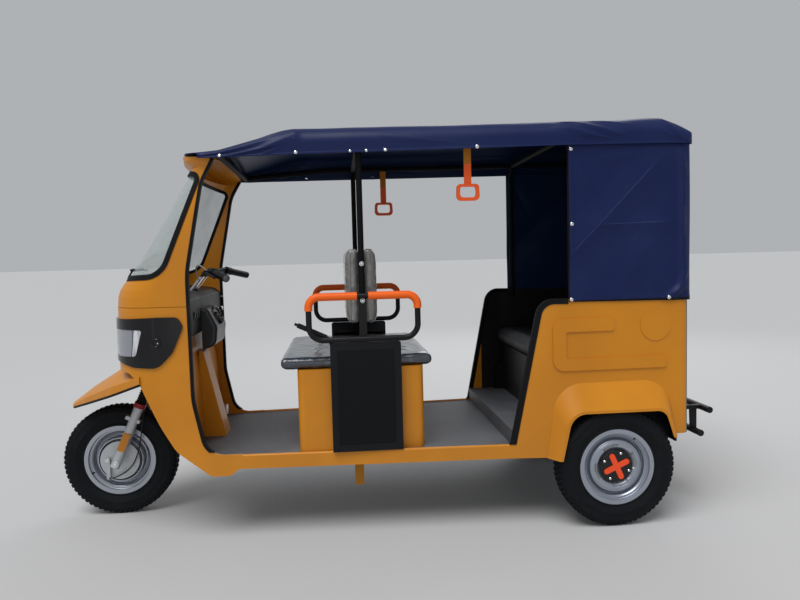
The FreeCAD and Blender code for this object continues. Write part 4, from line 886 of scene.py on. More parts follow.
    @classmethod
    def tube(cls, name: str, points: Sequence[Point], radius: float, closed: bool = False,
             steps: int = 6) -> Piece:
        """A round bar or cable along a smooth line, made a mesh.

        Args:
            name: The piece's name.
            points: Points that the line runs by.
            radius: The bar's radius.
            closed: Whether the line is a ring.
            steps: Segments between two points.

        Returns:
            The finished piece.
        """
        cls.clear()
        curve = bpy.data.curves.new(name, "CURVE")
        curve.dimensions = "3D"
        curve.bevel_depth = radius
        curve.bevel_resolution = 3
        curve.resolution_u = steps
        curve.use_fill_caps = True
        spline = curve.splines.new("NURBS")
        spline.points.add(len(points) - 1)
        for target, point in zip(spline.points, points):
            target.co = (*point, 1.0)
        spline.order_u = 3
        spline.use_cyclic_u = closed
        spline.use_endpoint_u = not closed
        piece = bpy.data.objects.new(name, curve)
        bpy.context.scene.collection.objects.link(piece)
        cls.pick(piece)
        bpy.ops.object.convert(target="MESH")
        return cls.smooth(bpy.context.object, cls.bar_smooth)

    @classmethod
    def join(cls, name: str, pieces: Sequence[Piece]) -> Piece:
        """Joins pieces into one."""
        cls.pick(*pieces)
        if len(pieces) > 1:
            bpy.ops.object.join()
        piece = bpy.context.object
        piece.name = name
        return piece

    @staticmethod
    def copy(name: str, model: Piece, turn: Matrix) -> Piece:
        """Copies a piece with its mesh.

        Args:
            name: The copy's name.
            model: The piece to copy.
            turn: A transform for the copy's mesh.

        Returns:
            The copy.
        """
        copy = model.copy()
        copy.data = model.data.copy()
        copy.name = name
        copy.data.transform(turn)
        if turn.determinant() < 0:
            copy.data.flip_normals()
        bpy.context.scene.collection.objects.link(copy)
        return copy

    @classmethod
    def copies(cls, name: str, model: Piece, turns: Iterable[Matrix]) -> Piece:
        """Copies of a model piece, each with its own mesh, joined into one piece; the model goes.

        Args:
            name: The joined piece's name.
            model: The piece to copy.
            turns: A transform for each copy.

        Returns:
            The joined piece.
        """
        made = [cls.copy(name, model, turn) for turn in turns]
        bpy.data.objects.remove(model)
        return cls.join(name, made)

    @staticmethod
    def area(piece: Piece) -> float:
        """Total area of a piece's faces in square metres."""
        return sum(face.area for face in piece.data.polygons)

    @classmethod
    def wrinkle(cls, piece: Piece, height: float, size: float) -> Piece:
        """Creases a piece by displacing it along its normals with a ridged pattern.

        Args:
            piece: The piece to crease.
            height: Height of the creases.
            size: Spacing of the creases.

        Returns:
            The same piece.
        """
        pattern = bpy.data.textures.new("wrinkle", "MUSGRAVE")
        pattern.musgrave_type = "RIDGED_MULTIFRACTAL"
        pattern.noise_scale = size
        pattern.octaves = 3.0
        pattern.gain = 1.6
        return cls.modify(piece, "DISPLACE", texture=pattern, strength=height, mid_level=0.45,
                          texture_coords="LOCAL")

    @staticmethod
    def tilt(piece: Piece, pivot: Point, angle: float, axis: str) -> Piece:
        """Turns a piece's mesh about an axis through a point."""
        place = Matrix.Translation(pivot)
        piece.data.transform(place @ Matrix.Rotation(angle, 4, axis) @ place.inverted())
        return piece

    @staticmethod
    def land(targets: Sequence[Piece], start: Point, way: Point) -> Landing:
        """Finds where a ray first meets one of some pieces.

        Args:
            targets: The pieces.
            start: Where the ray starts.
            way: Its direction.

        Returns:
            The point, and the surface's normal there.
        """
        start = Vector(start)
        bpy.context.view_layer.update()
        met = [target.ray_cast(start, Vector(way)) for target in targets]
        met = [(point, normal) for hit, point, normal, _ in met if hit]
        if not met:
            raise ValueError(f"no surface along the ray from {tuple(start)}")
        return min(met, key=lambda landing: (landing[0] - start).length)

    @staticmethod
    def upright(point: Vector, normal: Vector) -> Matrix:
        """Moves a piece modelled on the floor at the origin to a point, standing along a normal."""
        return Matrix.Translation(point) @ normal.to_track_quat("Z", "Y").to_matrix().to_4x4()

    @classmethod
    def hexagon(cls, name: str, start: Vector, end: Vector, radius: float) -> Piece:
        """A nut or bolt head between two points, on a washer that is thin beside it and wider."""
        head = cls.rod(name, start, end, radius, 6, 0.0012)
        top = start.lerp(end, cls.washer_share)
        washer = cls.rod(name + "_washer", start, top, radius * cls.washer_width, 24, 0.0004)
        return cls.join(name, [head, washer])


@dataclass
class Assembly:
    """A group of pieces that rides on one body."""

    body: str = "body"
    nodes: ClassVar[dict[str, Piece]] = {}

    def piece(self, name: str) -> Piece:
        """A construction node or a new piece by its name."""
        return self.nodes.get(name) or bpy.data.objects[name]

    def fit(self, piece: Piece, finish: Finish, slot: str,
            replaces: Sequence[str] = ()) -> Piece:
        """Gives a piece its finish and its place in the frame.

        Args:
            piece: The finished mesh.
            finish: Its finish, unless it has one already.
            slot: The record's material slot; not used.
            replaces: Construction nodes that it stands for.

        Returns:
            The same piece.
        """
        if not piece.data.materials:
            piece.data.materials.append(finish.material())
        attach(piece, self.body)
        if replaces:
            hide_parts(*replaces)
        LOG.info("%s: %d faces, %s, on %s", piece.name, len(piece.data.polygons), finish.name, self.body)
        return piece

    def turned(self, name: str, rows: Rows, steps: int, places: Sequence[Matrix], finish: Finish,
               slot: str) -> None:
        """Turns one small head and fits a copy of it at every place.

        Args:
            name: Name of the joined copies.
            rows: Profile points as (radius, height), from the axis out and back to it.
            steps: Segments round.
            places: A transform for each copy.
            finish: Their finish.
            slot: The record's material slot.
        """
        model = Workbench.lathe(name, rows, UPWARDS, steps)
        self.fit(Workbench.copies(name, model, places), finish, slot)

    @staticmethod
    def from_side(targets: Sequence[Piece], side: Side, x: float, z: float) -> Landing:
        """Where a level ray from beside the vehicle first meets one of some pieces."""
        return Workbench.land(targets, (x, side.value * FAR_OUT, z), ALONG_Y * -side.value)


@dataclass
class Construction(Assembly):
    """The construction nodes, each with its finish; those that a new piece stands for get the canvas."""

    finishes: tuple[tuple[Finish, str], ...] = (
        (BODY_PAINT, "nose_lower windscreen_surround front_mudguard front_bulkhead side_sills seat_box"),
        (BODY_PAINT, "rear_panel"),
        (QUARTER_PAINT, "rear_quarter_left rear_quarter_right"),
        (FRAME_BLACK, "parking_brake grab_rail_left grab_rail_right backrest_frame rear_bumper bench_box"),
        (FRAME_BLACK, "wheel_tubs"), (ROOF_FRAME, "canopy_frame"), (BLACK_GLOSS, "side_panels"),
        (CHASSIS_BLACK, "chassis_frame leaf_springs rear_axle"), (CAST_ALLOY, "drive_motor"),
        (MAT, "floor_pan"), (SCREEN_GLASS, "windscreen_glass"), (TRIM_RUBBER, "windscreen_seal door_trims"),
        (LAMP_BLACK, "headlamp_panels"), (LENS_CLEAR, "headlamp_lenses"), (TAIL_LENS, "tail_lamps"),
        (AMBER_LENS, "fork_reflectors"), (DASH_PLASTIC, "dashboard"), (POD_PLASTIC, "instrument_pod"),
        (CASE_GREY, "battery_pack"), (STEEL, "brake_pedal"), (ORANGE_PLASTIC, "rail_grips"),
        (STRAP_FINISH, "hand_straps"), (FORK_SILVER, "front_fork"), (BOOT_RUBBER, "fork_boots"),
        (BAR_FINISH, "handlebar"), (CABLE_SHEATH, "control_cables"), (FRONT_RIM, "front_rim"),
        (REAR_RIM, "rear_rim_left rear_rim_right"), (HUB_FINISH, "rear_hub_left rear_hub_right"),
        (TYRE_RUBBER, "front_tyre rear_tyre_left rear_tyre_right"))

    def dress(self, nodes: dict[str, Piece]) -> None:
        """Puts each finish on its node.

        Args:
            nodes: The frame's nodes by name.
        """
        table = {name: finish for finish, names in self.finishes for name in names.split()}
        for name, node in nodes.items():
            finish = table.get(name, CANVAS)
            node.data.materials.clear()
            node.data.materials.append(finish.material())
            LOG.info("%s: %s", name, finish.name)


@dataclass(frozen=True)
class Bow:
    """One section across the roof cover, in metres: its crown, a shoulder each side, and the skirts."""

    crown_share: ClassVar[float] = 0.5
    skirt_share: ClassVar[float] = 0.75
    station: float
    crown: float
    skirt: float
    half: float
    shoulder: float
    radius: float

    def toward(self, other: "Bow", share: float) -> "Bow":
        """The section a share of the way to another one."""
        return Bow(*(a * (1.0 - share) + b * share for a, b in zip(astuple(self), astuple(other))))

    def point(self, share: float) -> tuple[float, float, float, float]:
        """A point of the section.

        Args:
            share: From -1 at the left hem over 0 at the crown to 1 at the right hem.

        Returns:
            Distance to the right, height, how far the point is onto the skirt from 0 to 1, and the lean of
            the surface there, from 0 where it lies level to a right angle on the skirt.
        """
        side = math.copysign(1.0, share)
        part = abs(share)
        inner = self.half - self.shoulder
        depth = math.sqrt((self.radius - self.shoulder) ** 2 - inner ** 2)
        lean = math.atan2(inner, depth)
        centre = self.crown - self.radius
        if part < self.crown_share:
            angle = lean * part / self.crown_share
            return side * self.radius * math.sin(angle), centre + self.radius * math.cos(angle), 0.0, angle
        if part < self.skirt_share:
            turn = (part - self.crown_share) / (self.skirt_share - self.crown_share)
            angle = lean + (math.pi / 2 - lean) * turn
            return (side * (inner + self.shoulder * math.sin(angle)),
                    centre + depth + self.shoulder * math.cos(angle), 0.0, angle)
        down = (part - self.skirt_share) / (1.0 - self.skirt_share)
        return side * self.half, (centre + depth) * (1.0 - down) + self.skirt * down, down, math.pi / 2


@dataclass(frozen=True)
class Crease:
    """A storage fold across a sheet: a sharp ridge between two points with faces that fall away."""

    start: Pair
    end: Pair
    width: float
    height: float
    sharpness: float = 1.6

    def rise(self, along: float, up: float) -> float:
        """Height of the fold at a place on the sheet.

        Args:
            along: The place's station.
            up: Its height or girth.

        Returns:
            The height above the sheet.
        """
        a, b, p = Vector(self.start), Vector(self.end), Vector((along, up))
        way = b - a
        share = max(0.0, min(1.0, (p - a).dot(way) / way.length_squared))
        gap = (p - a - way * share).length
        fade = math.sin(math.pi * (0.12 + 0.76 * share))
        return self.height * fade * max(0.0, 1.0 - gap / self.width) ** self.sharpness


@dataclass
class Canopy(Assembly):
    """Tarpaulin over the bows: the roof cover and the curtain round the sides and the back."""

    thickness: float = 0.0018
    hem: float = 0.026
    hem_step: float = 0.0014
    bows: tuple[Bow, ...] = (
        Bow(-0.8725, 1.689, 1.638, 0.428, 0.012, 2.4), Bow(-0.6745, 1.711, 1.636, 0.448, 0.020, 2.4),
        Bow(-0.3645, 1.800, 1.642, 0.470, 0.072, 1.95), Bow(0.8005, 1.824, 1.660, 0.526, 0.072, 1.95),
        Bow(1.2355, 1.836, 1.664, 0.526, 0.072, 1.95), Bow(1.3005, 1.800, 1.664, 0.526, 0.060, 2.4),
        Bow(1.3678, 1.740, 1.664, 0.524, 0.030, 4.0))
    supports: tuple[float, ...] = (-0.8725, -0.3645, -0.0895, 0.8205, 1.2955, 1.3678)
    sag: float = 0.004
    wave: float = 0.0012
    first_guess: float = -0.6
    cell_gap: float = 0.0002
    girths: Rows = ((0.0, 0.0), (Bow.crown_share, 0.40), (Bow.skirt_share, 0.50), (1.0, 0.59))
    tail_share: float = 0.955
    tail_corner: float = 0.040
    brow_bow: float = 1.15
    brow_corner: float = 0.19
    brow_half: float = 0.48
    curtain_front: float = 0.8005
    curtain_rear: float = 1.3618
    curtain_half: float = 0.5203
    curtain_corner: float = 0.034
    curtain_low: Pair = (0.991, 0.984)
    curtain_top: float = 1.672
    curtain_slack: float = 0.0045
    curtain_hem: Pair = (0.03, 0.02)
    cover_cut: Pair = (1.42, 2.34)
    curtain_cut: Pair = (2.12, 0.69)
    cover_creases: tuple[Crease, ...] = (
        Crease((-0.345, 0.455), (-0.66, 0.565), 0.032, 0.0095, 1.2),
        Crease((-0.350, 0.440), (-0.74, 0.500), 0.034, 0.0085),
        Crease((-0.352, 0.43), (-0.50, 0.36), 0.026, 0.0050),
        Crease((-0.356, 0.43), (-0.352, 0.585), 0.014, 0.0065),
        Crease((-0.40, 0.50), (-0.50, 0.585), 0.020, 0.0050),
        Crease((0.00, 0.47), (0.30, 0.52), 0.030, 0.0030),
        Crease((0.790, 0.415), (1.035, 0.503), 0.026, 0.0105),
        Crease((0.745, 0.440), (0.985, 0.530), 0.024, 0.0085),
        Crease((0.905, 0.395), (1.09, 0.455), 0.020, 0.0050),
        Crease((1.232, 0.43), (1.325, 0.540), 0.016, 0.0075),
        Crease((1.200, 0.475), (1.320, 0.560), 0.014, 0.0050))
    curtain_creases: tuple[Crease, ...] = (
        Crease((0.790, 1.18), (1.225, 1.61), 0.100, 0.0150, 1.3),
        Crease((0.93, 1.322), (1.30, 1.334), 0.07, 0.0080),
        Crease((1.318, 1.05), (1.314, 1.64), 0.022, 0.0130, 1.1),
        Crease((1.236, 0.995), (1.335, 1.052), 0.030, 0.0150),
        Crease((1.270, 0.99), (1.335, 1.12), 0.022, 0.0110),
        Crease((0.84, 1.60), (0.93, 1.45), 0.05, 0.0045),
        Crease((1.29, 1.655), (1.325, 1.54), 0.022, 0.0090),
        Crease((1.02, 1.02), (1.20, 1.30), 0.09, 0.0045),
        Crease((0.85, 1.04), (1.10, 1.00), 0.05, 0.0035),
        Crease((0.95, 1.60), (1.20, 1.64), 0.04, 0.0040))

    def bow_at(self, station: float) -> Bow:
        """The cover's section at a station."""
        for before, after in zip(self.bows, self.bows[1:]):
            if station <= after.station:
                share = (station - before.station) / (after.station - before.station)
                return before.toward(after, max(0.0, share))
        return self.bows[-1]

    def brow(self, across: float) -> float:
        """Station of the cover's bowed front edge at a distance from the centre plane."""
        side = self.brow_half - self.brow_corner
        reach = self.brow_bow - self.brow_corner
        depth = math.sqrt(reach ** 2 - side ** 2)
        apex = self.bows[0].station - 0.006
        across = min(abs(across), self.brow_half)
        if across < side * self.brow_bow / reach:
            return apex + self.brow_bow - math.sqrt(self.brow_bow ** 2 - across ** 2)
        corner = apex + self.brow_bow - depth
        return corner - math.sqrt(max(0.0, self.brow_corner ** 2 - (across - side) ** 2))

    def tail(self, across: float) -> float:
        """Station of the cover's rear edge, rounded at both corners, at a distance from the centre plane."""
        last = self.bows[-1]
        over = min(self.tail_corner, max(0.0, abs(across) - (last.half - self.tail_corner)))
        return last.station - self.tail_corner + math.sqrt(self.tail_corner ** 2 - over ** 2)

    def fall(self, station: float) -> float:
        """How far the cover hangs in between two supports, 0 to 1."""
        for before, after in zip(self.supports, self.supports[1:]):
            if before <= station <= after:
                span = after - before
                return math.sin(math.pi * (station - before) / span) ** 2 * min(1.0, span / 0.5)
        return 0.0

    def cover_point(self, along: float, around: float) -> Vector:
        """A point of the roof cover.

        Args:
            along: Share from the front edge to the rear edge.
            around: Share from the left hem to the right hem.

        Returns:
            The point.
        """
        share = around * 2.0 - 1.0
        drop = max(0.0, (along - self.tail_share) / (1.0 - self.tail_share))
        along = min(1.0, along / self.tail_share)
        station = self.first_guess
        for _ in range(2):
            across = self.bow_at(station).point(share)[0]
            front = max(self.brow(across), self.bows[0].station)
            station = front * (1.0 - along) + self.tail(across) * along
        bow = self.bow_at(station)
        across, height, down, lean = bow.point(share)
        hang = self.fall(station)
        side = math.copysign(1.0, share)
        girth = float(np.interp(abs(share), *zip(*self.girths)))
        rise = sum(crease.rise(station, girth) for crease in self.cover_creases)
        rise -= self.sag * hang * (0.6 + max(0.0, 1.0 - abs(share) / Bow.skirt_share)) * (1.0 - down)
        wave = math.sin(station * 13.0 + 1.1 * side) * math.sin(station * 5.3 + 0.4 + girth * 4.0)
        rise += self.wave * wave
        if max(down, drop) > 1.0 - self.hem / (bow.crown - bow.skirt):
            rise += self.hem_step
        height = height * (1.0 - drop) + bow.skirt * drop
        return Vector((station, across + side * rise * math.sin(lean), height + rise * math.cos(lean)))

    def make(self, name: str, count: tuple[int, int], place: Callable[[float, float], Vector], finish: Finish,
             cut: Pair, replaces: Sequence[str]) -> None:
        """Makes one sheet of tarpaulin, with its thickness and a darker inner face, painted shade under the
        cover.

        Args:
            name: The sheet's name.
            count: Cells each way.
            place: Gives the point at two shares, the sheet's faces pointing outwards.
            finish: The outer face's finish.
            cut: The sheet's size as cut, laid flat; not used.
            replaces: Construction nodes that it stands for.
        """
        piece = Workbench.sheet(name, count, place)
        area = Workbench.area(piece)
        Workbench.pick(piece)
        bpy.ops.object.mode_set(mode="EDIT")
        bpy.ops.mesh.select_all(action="SELECT")
        bpy.ops.mesh.dissolve_degenerate(threshold=self.cell_gap)
        bpy.ops.object.mode_set(mode="OBJECT")
        for side in (finish, SHADED_CANVAS_INSIDE):
            piece.data.materials.append(side.material())
        Workbench.modify(piece, "SOLIDIFY", thickness=self.thickness, offset=1.0, material_offset=1)
        self.fit(piece, finish, "canvas_navy", replaces)
        LOG.info("%s area %.3f", name, area)

    def curtain_point(self, along: float, up: float) -> Vector:
        """A point of the curtain.

        Args:
            along: Share of its run back along one side, across the back and along the other side.
            up: Share of its height.

        Returns:
            The point.
        """
        straight = self.curtain_rear - self.curtain_corner - self.curtain_front
        bend = math.pi / 2 * self.curtain_corner
        back = 2.0 * (self.curtain_half - self.curtain_corner)
        walk = along * (2.0 * (straight + bend) + back)
        side = -1.0
        if walk > straight + bend + back / 2:
            walk = 2.0 * (straight + bend) + back - walk
            side = 1.0
        inner = self.curtain_half - self.curtain_corner
        if walk < straight:
            place = Vector((self.curtain_front + walk, self.curtain_half, 0.0))
            out = ALONG_Y
        elif walk < straight + bend:
            angle = (walk - straight) / self.curtain_corner
            out = Vector((math.sin(angle), math.cos(angle), 0.0))
            place = Vector((self.curtain_front + straight, inner, 0.0)) + out * self.curtain_corner
        else:
            place = Vector((self.curtain_rear, inner - (walk - straight - bend), 0.0))
            out = REARWARDS
        share = min(1.0, walk / (straight + bend))
        low = self.curtain_low[0] * (1.0 - share) + self.curtain_low[1] * share
        height = low + (self.curtain_top - low) * up
        station = self.curtain_front + walk
        rise = sum(crease.rise(station, height) for crease in self.curtain_creases)
        rise += 0.0015 * math.sin(station * 9.0 + height * 5.0) * math.sin(height * 6.0)
        if walk > straight:
            wide = (walk - straight - bend) * 9.0
            rise += 0.003 * math.sin(wide + 0.5) * math.sin(math.pi * up) ** 2
        place -= out * (self.curtain_slack - rise)
        if up < self.curtain_hem[0] or walk < self.curtain_hem[1]:
            place += out * self.hem_step
        return Vector((place.x, side * place.y, height))

    def build(self) -> None:
        """Makes the roof cover from hem to hem, and the curtain round both sides and the back."""
        self.make("canopy_cover", (170, 150), self.cover_point, CANVAS, self.cover_cut, ["canopy_roof"])
        self.make("canopy_curtain", (240, 80), self.curtain_point, CURTAIN, self.curtain_cut,
                  ["canopy_sides", "canopy_rear"])


@dataclass(frozen=True)
class Cushion:
    """One cushion: its node, its finish and how it swells.

    What it rests on is told by the axis through its thickness, and by the sign of the way to that face.
    """

    node: str
    finish: Finish
    slot: str
    cap: float
    rests: tuple[int, int]
    channels: int = 0
    wrinkle: float = 0.0


@dataclass
class Seats(Assembly):
    """Padded seats, blown up by a cloth simulation from blocks that fit their nodes."""

    voxel: float = 0.006
    shrink: float = 0.007
    corner: float = 0.016
    pressure: float = 4.0
    frames: int = 20
    quality: int = 2
    crease_size: float = 0.06
    fill: float = 0.7
    channel: float = 0.011
    piping: float = 0.0032
    seam: float = 0.78
    seam_points: int = 88
    seam_squareness: float = 1.32
    pad_gap: float = 0.0073
    cushions: tuple[Cushion, ...] = (
        Cushion("driver_cushion", WRAPPED, "seat_cover", 0.006, (2, -1), wrinkle=0.0014),
        Cushion("bench_cushion", BENCH_VINYL, "bench_cover", 0.014, (2, -1), channels=3),
        Cushion("bench_backrest", BENCH_VINYL, "bench_cover", 0.014, (0, 1), channels=3))

    def swell(self, piece: Piece, cap: float) -> None:
        """Blows a block up as cloth under pressure.

        Args:
            piece: The block, which is remeshed first.
            cap: How far its points may move.
        """
        Workbench.modify(piece, "REMESH", mode="VOXEL", voxel_size=self.voxel)
        count = len(piece.data.vertices)
        start = np.empty(count * 3, np.float32)
        piece.data.vertices.foreach_get("co", start)
        Workbench.pick(piece)
        cloth = piece.modifiers.new("cloth", "CLOTH")
        cloth.settings.use_pressure = True
        cloth.settings.uniform_pressure_force = self.pressure
        cloth.settings.effector_weights.gravity = 0.0
        cloth.settings.quality = self.quality
        scene = bpy.context.scene
        for number in range(1, self.frames + 1):
            scene.frame_set(number)
        bpy.ops.object.modifier_apply(modifier=cloth.name)
        scene.frame_set(1)
        end = np.empty(count * 3, np.float32)
        piece.data.vertices.foreach_get("co", end)
        move = (end - start).reshape(-1, 3)
        length = np.linalg.norm(move, axis=1, keepdims=True)
        move *= np.minimum(1.0, cap / np.maximum(length, 1e-9))
        piece.data.vertices.foreach_set("co", (start.reshape(-1, 3) + move).astype(np.float32).ravel())
        piece.data.update()

    def shape(self, piece: Piece, low: Vector, high: Vector, cushion: Cushion) -> None:
        """Lays the resting face flat, and sews in the channels.

        Args:
            piece: The swollen cushion.
            low: The node's lowest corner.
            high: The node's highest corner.
            cushion: What kind of cushion it is.
        """
        axis, way = cushion.rests
        span = high.y - low.y
        for vertex in piece.data.vertices:
            co = vertex.co
            for number in range(1, cushion.channels):
                gap = co.y - (low.y + span * number / cushion.channels)
                face = (co[axis] - low[axis]) / (high[axis] - low[axis])
                face = face if way < 0 else 1.0 - face
                co[axis] += way * self.channel * math.exp(-(gap / self.channel) ** 2) * max(0.0, face - 0.3)
            if way < 0:
                co[axis] = max(co[axis], low[axis])
            else:
                co[axis] = min(co[axis], high[axis])

    def edge(self, name: str, piece: Piece, low: Vector, high: Vector, axis: int,
             share: float) -> Piece:
        """Piping round a cushion, laid on its surface.

        Args:
            name: The piping's name.
            piece: The cushion.
            low: The node's lowest corner.
            high: The node's highest corner.
            axis: The axis through the cushion's thickness.
            share: Where the seam runs in the thickness, 0 to 1.

        Returns:
            The piping as one closed tube.
        """
        first, second = [a for a in range(3) if a != axis]
        middle = (low + high) / 2
        points = []
        for number in range(self.seam_points):
            angle = math.tau * (number + 0.5) / self.seam_points
            point = Vector(ORIGIN)
            for a, way in ((first, math.cos(angle)), (second, math.sin(angle))):
                half = (high[a] - low[a]) / 2
                point[a] = middle[a] + half * math.copysign(min(1.0, abs(way) * self.seam_squareness), way)
            point[axis] = low[axis] + (high[axis] - low[axis]) * share
            points.append(piece.closest_point_on_mesh(point)[1])
        return Workbench.tube(name, points, self.piping, closed=True, steps=2)

    def cushion(self, cushion: Cushion, low: Vector, high: Vector, name: str) -> Piece:
        """Makes one cushion.

        Args:
            cushion: What kind of cushion it is.
            low: Its lowest corner.
            high: Its highest corner.
            name: The piece's name.

        Returns:
            The piece.
        """
        inset = Vector((self.shrink,) * 3)
        piece = Workbench.block(name, low + inset, high - inset, self.corner, steps=4)
        self.swell(piece, cushion.cap)
        self.shape(piece, low, high, cushion)
        if cushion.wrinkle:
            Workbench.wrinkle(piece, cushion.wrinkle, self.crease_size)
        return Workbench.smooth(piece, 80.0)

    def dress(self, piece: Piece, cushion: Cushion, low: Vector, high: Vector) -> None:
        """Fits a cushion and its piping to the vehicle.

        Args:
            piece: The cushion.
            cushion: What kind of cushion it is.
            low: Its lowest corner.
            high: Its highest corner.
        """
        axis, way = cushion.rests
        share = self.seam if way < 0 else 1.0 - self.seam
        seam = self.edge(piece.name + "_piping", piece, low, high, axis, share)
        self.fit(seam, cushion.finish, cushion.slot)
        self.fit(piece, cushion.finish, cushion.slot)

    def backrest(self) -> None:
        """The two backrest pads, the rear one a mirrored copy of the front one."""
        low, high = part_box("backrest_pads")
        middle = (low.x + high.x) / 2
        face = middle - self.pad_gap
        kind = Cushion("backrest_pads", WRAPPED_PAD, "seat_cover", 0.010, (0, 1), wrinkle=0.0018)
        corner = Vector((face, high.y, high.z))
        front = self.cushion(kind, low, corner, "backrest_pad_front")
        mirror = Matrix.Translation((2 * middle, 0, 0)) @ Matrix.Scale(-1, 4, REARWARDS)
        rear = Workbench.copy("backrest_pad_rear", front, mirror)
        self.dress(front, kind, low, corner)
        self.dress(rear, replace(kind, rests=(0, -1)), Vector((2 * middle - face, low.y, low.z)), high)
        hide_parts("backrest_pads")

    def build(self) -> None:
        """Makes every cushion."""
        for cushion in self.cushions:
            low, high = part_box(cushion.node)
            piece = self.cushion(cushion, low, high, cushion.node + "_soft")
            self.dress(piece, cushion, low, high)
            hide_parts(cushion.node)
        self.backrest()


@dataclass
class Tyre:
    """One tyre with its tread blocks, modelled round the origin with its axle along Y.

    Its rows of blocks are given by their inner and outer edge off the middle, how far they lie below the
    tread's top, their lean, and their shift round the tyre in blocks.
    """

    radius: float = 0.263
    base: float = 0.2580
    bead: float = 0.1524
    blocks: int = 66
    block_share: float = 0.62
    depth: float = 0.015
    rows: tuple[tuple[float, ...], ...] = ((0.0275, 0.0475, 0.0042, 0.58, 0.5),
                                           (0.0030, 0.0235, 0.0002, 0.05, 0.0))

    def carcass(self) -> Piece:
        """The turned body, with rim guard and side rings."""
        side = [(self.bead, 0.0355), (0.164, 0.0362), (0.170, 0.0395), (0.174, 0.0400), (0.177, 0.0382),
                (0.188, 0.0440), (0.203, 0.0485), (0.2055, 0.0497), (0.2075, 0.0488), (0.222, 0.0498),
                (0.2325, 0.0484), (0.2345, 0.0490), (0.2365, 0.0478), (0.2465, 0.0452), (0.2535, 0.0405),
                (self.base, 0.0300), (self.base + 0.0012, 0.0150)]
        rows = side + [(self.base + 0.0015, 0.0)] + [(r, -a) for r, a in reversed(side)]
        return Workbench.lathe("carcass", rows, ALONG_Y, 96, closed=True)

    def lug(self, low: Point, high: Point, lean: float) -> Piece:
        """One tread block at the top of the tyre, leant over the shoulder."""
        block = Workbench.block("lug", low, high, 0.0012, 1)
        return Workbench.tilt(block, (0.0, (low[1] + high[1]) / 2, high[2]), lean, "X")

    def build(self) -> Piece:
        """The whole tyre."""
        pieces = [self.carcass()]
        pitch = math.tau / self.blocks
        width = self.radius * pitch * self.block_share / 2
        for side in (-1.0, 1.0):
            for low, high, drop, lean, shift in self.rows:
                ends = sorted((side * low, side * high))
                top = self.radius - drop
                model = self.lug((-width, ends[0], top - self.depth), (width, ends[1], top), -side * lean)
                offset = shift + (0.5 if side > 0 else 0.0)
                turns = [Matrix.Rotation((number + offset) * pitch, 4, "Y") for number in range(self.blocks)]
                pieces.append(Workbench.copies("row", model, turns))
        return Workbench.join("tyre", pieces)


class Tyres:
    """The three tyres, each on its own wheel's body."""

    places: ClassVar[dict[str, str]] = {"front_tyre": "front_wheel", "rear_tyre_left": "rear_wheel_left",
                                        "rear_tyre_right": "rear_wheel_right"}

    def build(self) -> None:
        """Copies one model tyre onto each wheel."""
        model = Tyre().build()
        for node, body in self.places.items():
            low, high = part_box(node)
            piece = Workbench.copy(node + "_tread", model, Matrix.Translation((low + high) / 2))
            Assembly(body).fit(piece, TYRE_RUBBER, "tyre_black", [node])
        bpy.data.objects.remove(model)


@dataclass
class Fasteners(Assembly):
    """Press studs along the canvas, and the screws and bolts that show on the frame.

    Heads are drawn as (radius, height). Places beside are (X, Z), those behind are (Y, Z).
    """

    stud: Rows = ((0.0, 0.0046), (0.0040, 0.0043), (0.0072, 0.0030), (0.0090, 0.0010), (0.0094, -0.0008),
                  (0.0, -0.0008))
    screw: Rows = ((0.0, 0.0034), (0.0034, 0.0030), (0.0056, 0.0014), (0.0062, -0.0006), (0.0, -0.0006))
    bolt: Rows = ((0.0, 0.0062), (0.0045, 0.0058), (0.0070, 0.0036), (0.0076, 0.0012), (0.0098, 0.0010),
                  (0.0098, -0.0010), (0.0, -0.0010))
    side_studs: Rows = ((-0.6653, 1.6460), (-0.3490, 1.6515), (0.0240, 1.6555), (0.4110, 1.6600),
                        (0.8146, 1.6450), (0.8155, 1.3260), (0.8115, 1.0010), (1.2484, 0.9970))
    back_studs: Rows = ((-0.42, 0.998), (-0.14, 0.998), (0.14, 0.998), (0.42, 0.998))
    side_screws: Rows = ((-0.1235, 1.6520), (-0.0560, 1.6525))
    post_bolts: Rows = ((-0.0887, 1.1798), (-0.0890, 1.0218))

    def build(self) -> None:
        """Sets the studs, screws and bolts."""
        canvas = [self.piece(name) for name in ("canopy_cover", "canopy_curtain")]
        frame = [self.piece(name) for name in ("canopy_frame", "grab_rail_left", "grab_rail_right")]
        behind = [Workbench.upright(*Workbench.land(canvas, (FAR_OUT, y, z), -REARWARDS))
                  for y, z in self.back_studs]
        for name, rows, targets, places, more in (
                ("canvas_studs", self.stud, canvas, self.side_studs, behind),
                ("canvas_screws", self.screw, canvas, self.side_screws, []),
                ("post_bolts", self.bolt, frame, self.post_bolts, [])):
            beside = [Workbench.upright(*self.from_side(targets, side, x, z))
                      for side in Side for x, z in places]
            self.turned(name, rows, 20, beside + more, CHROME, "steel_bright")


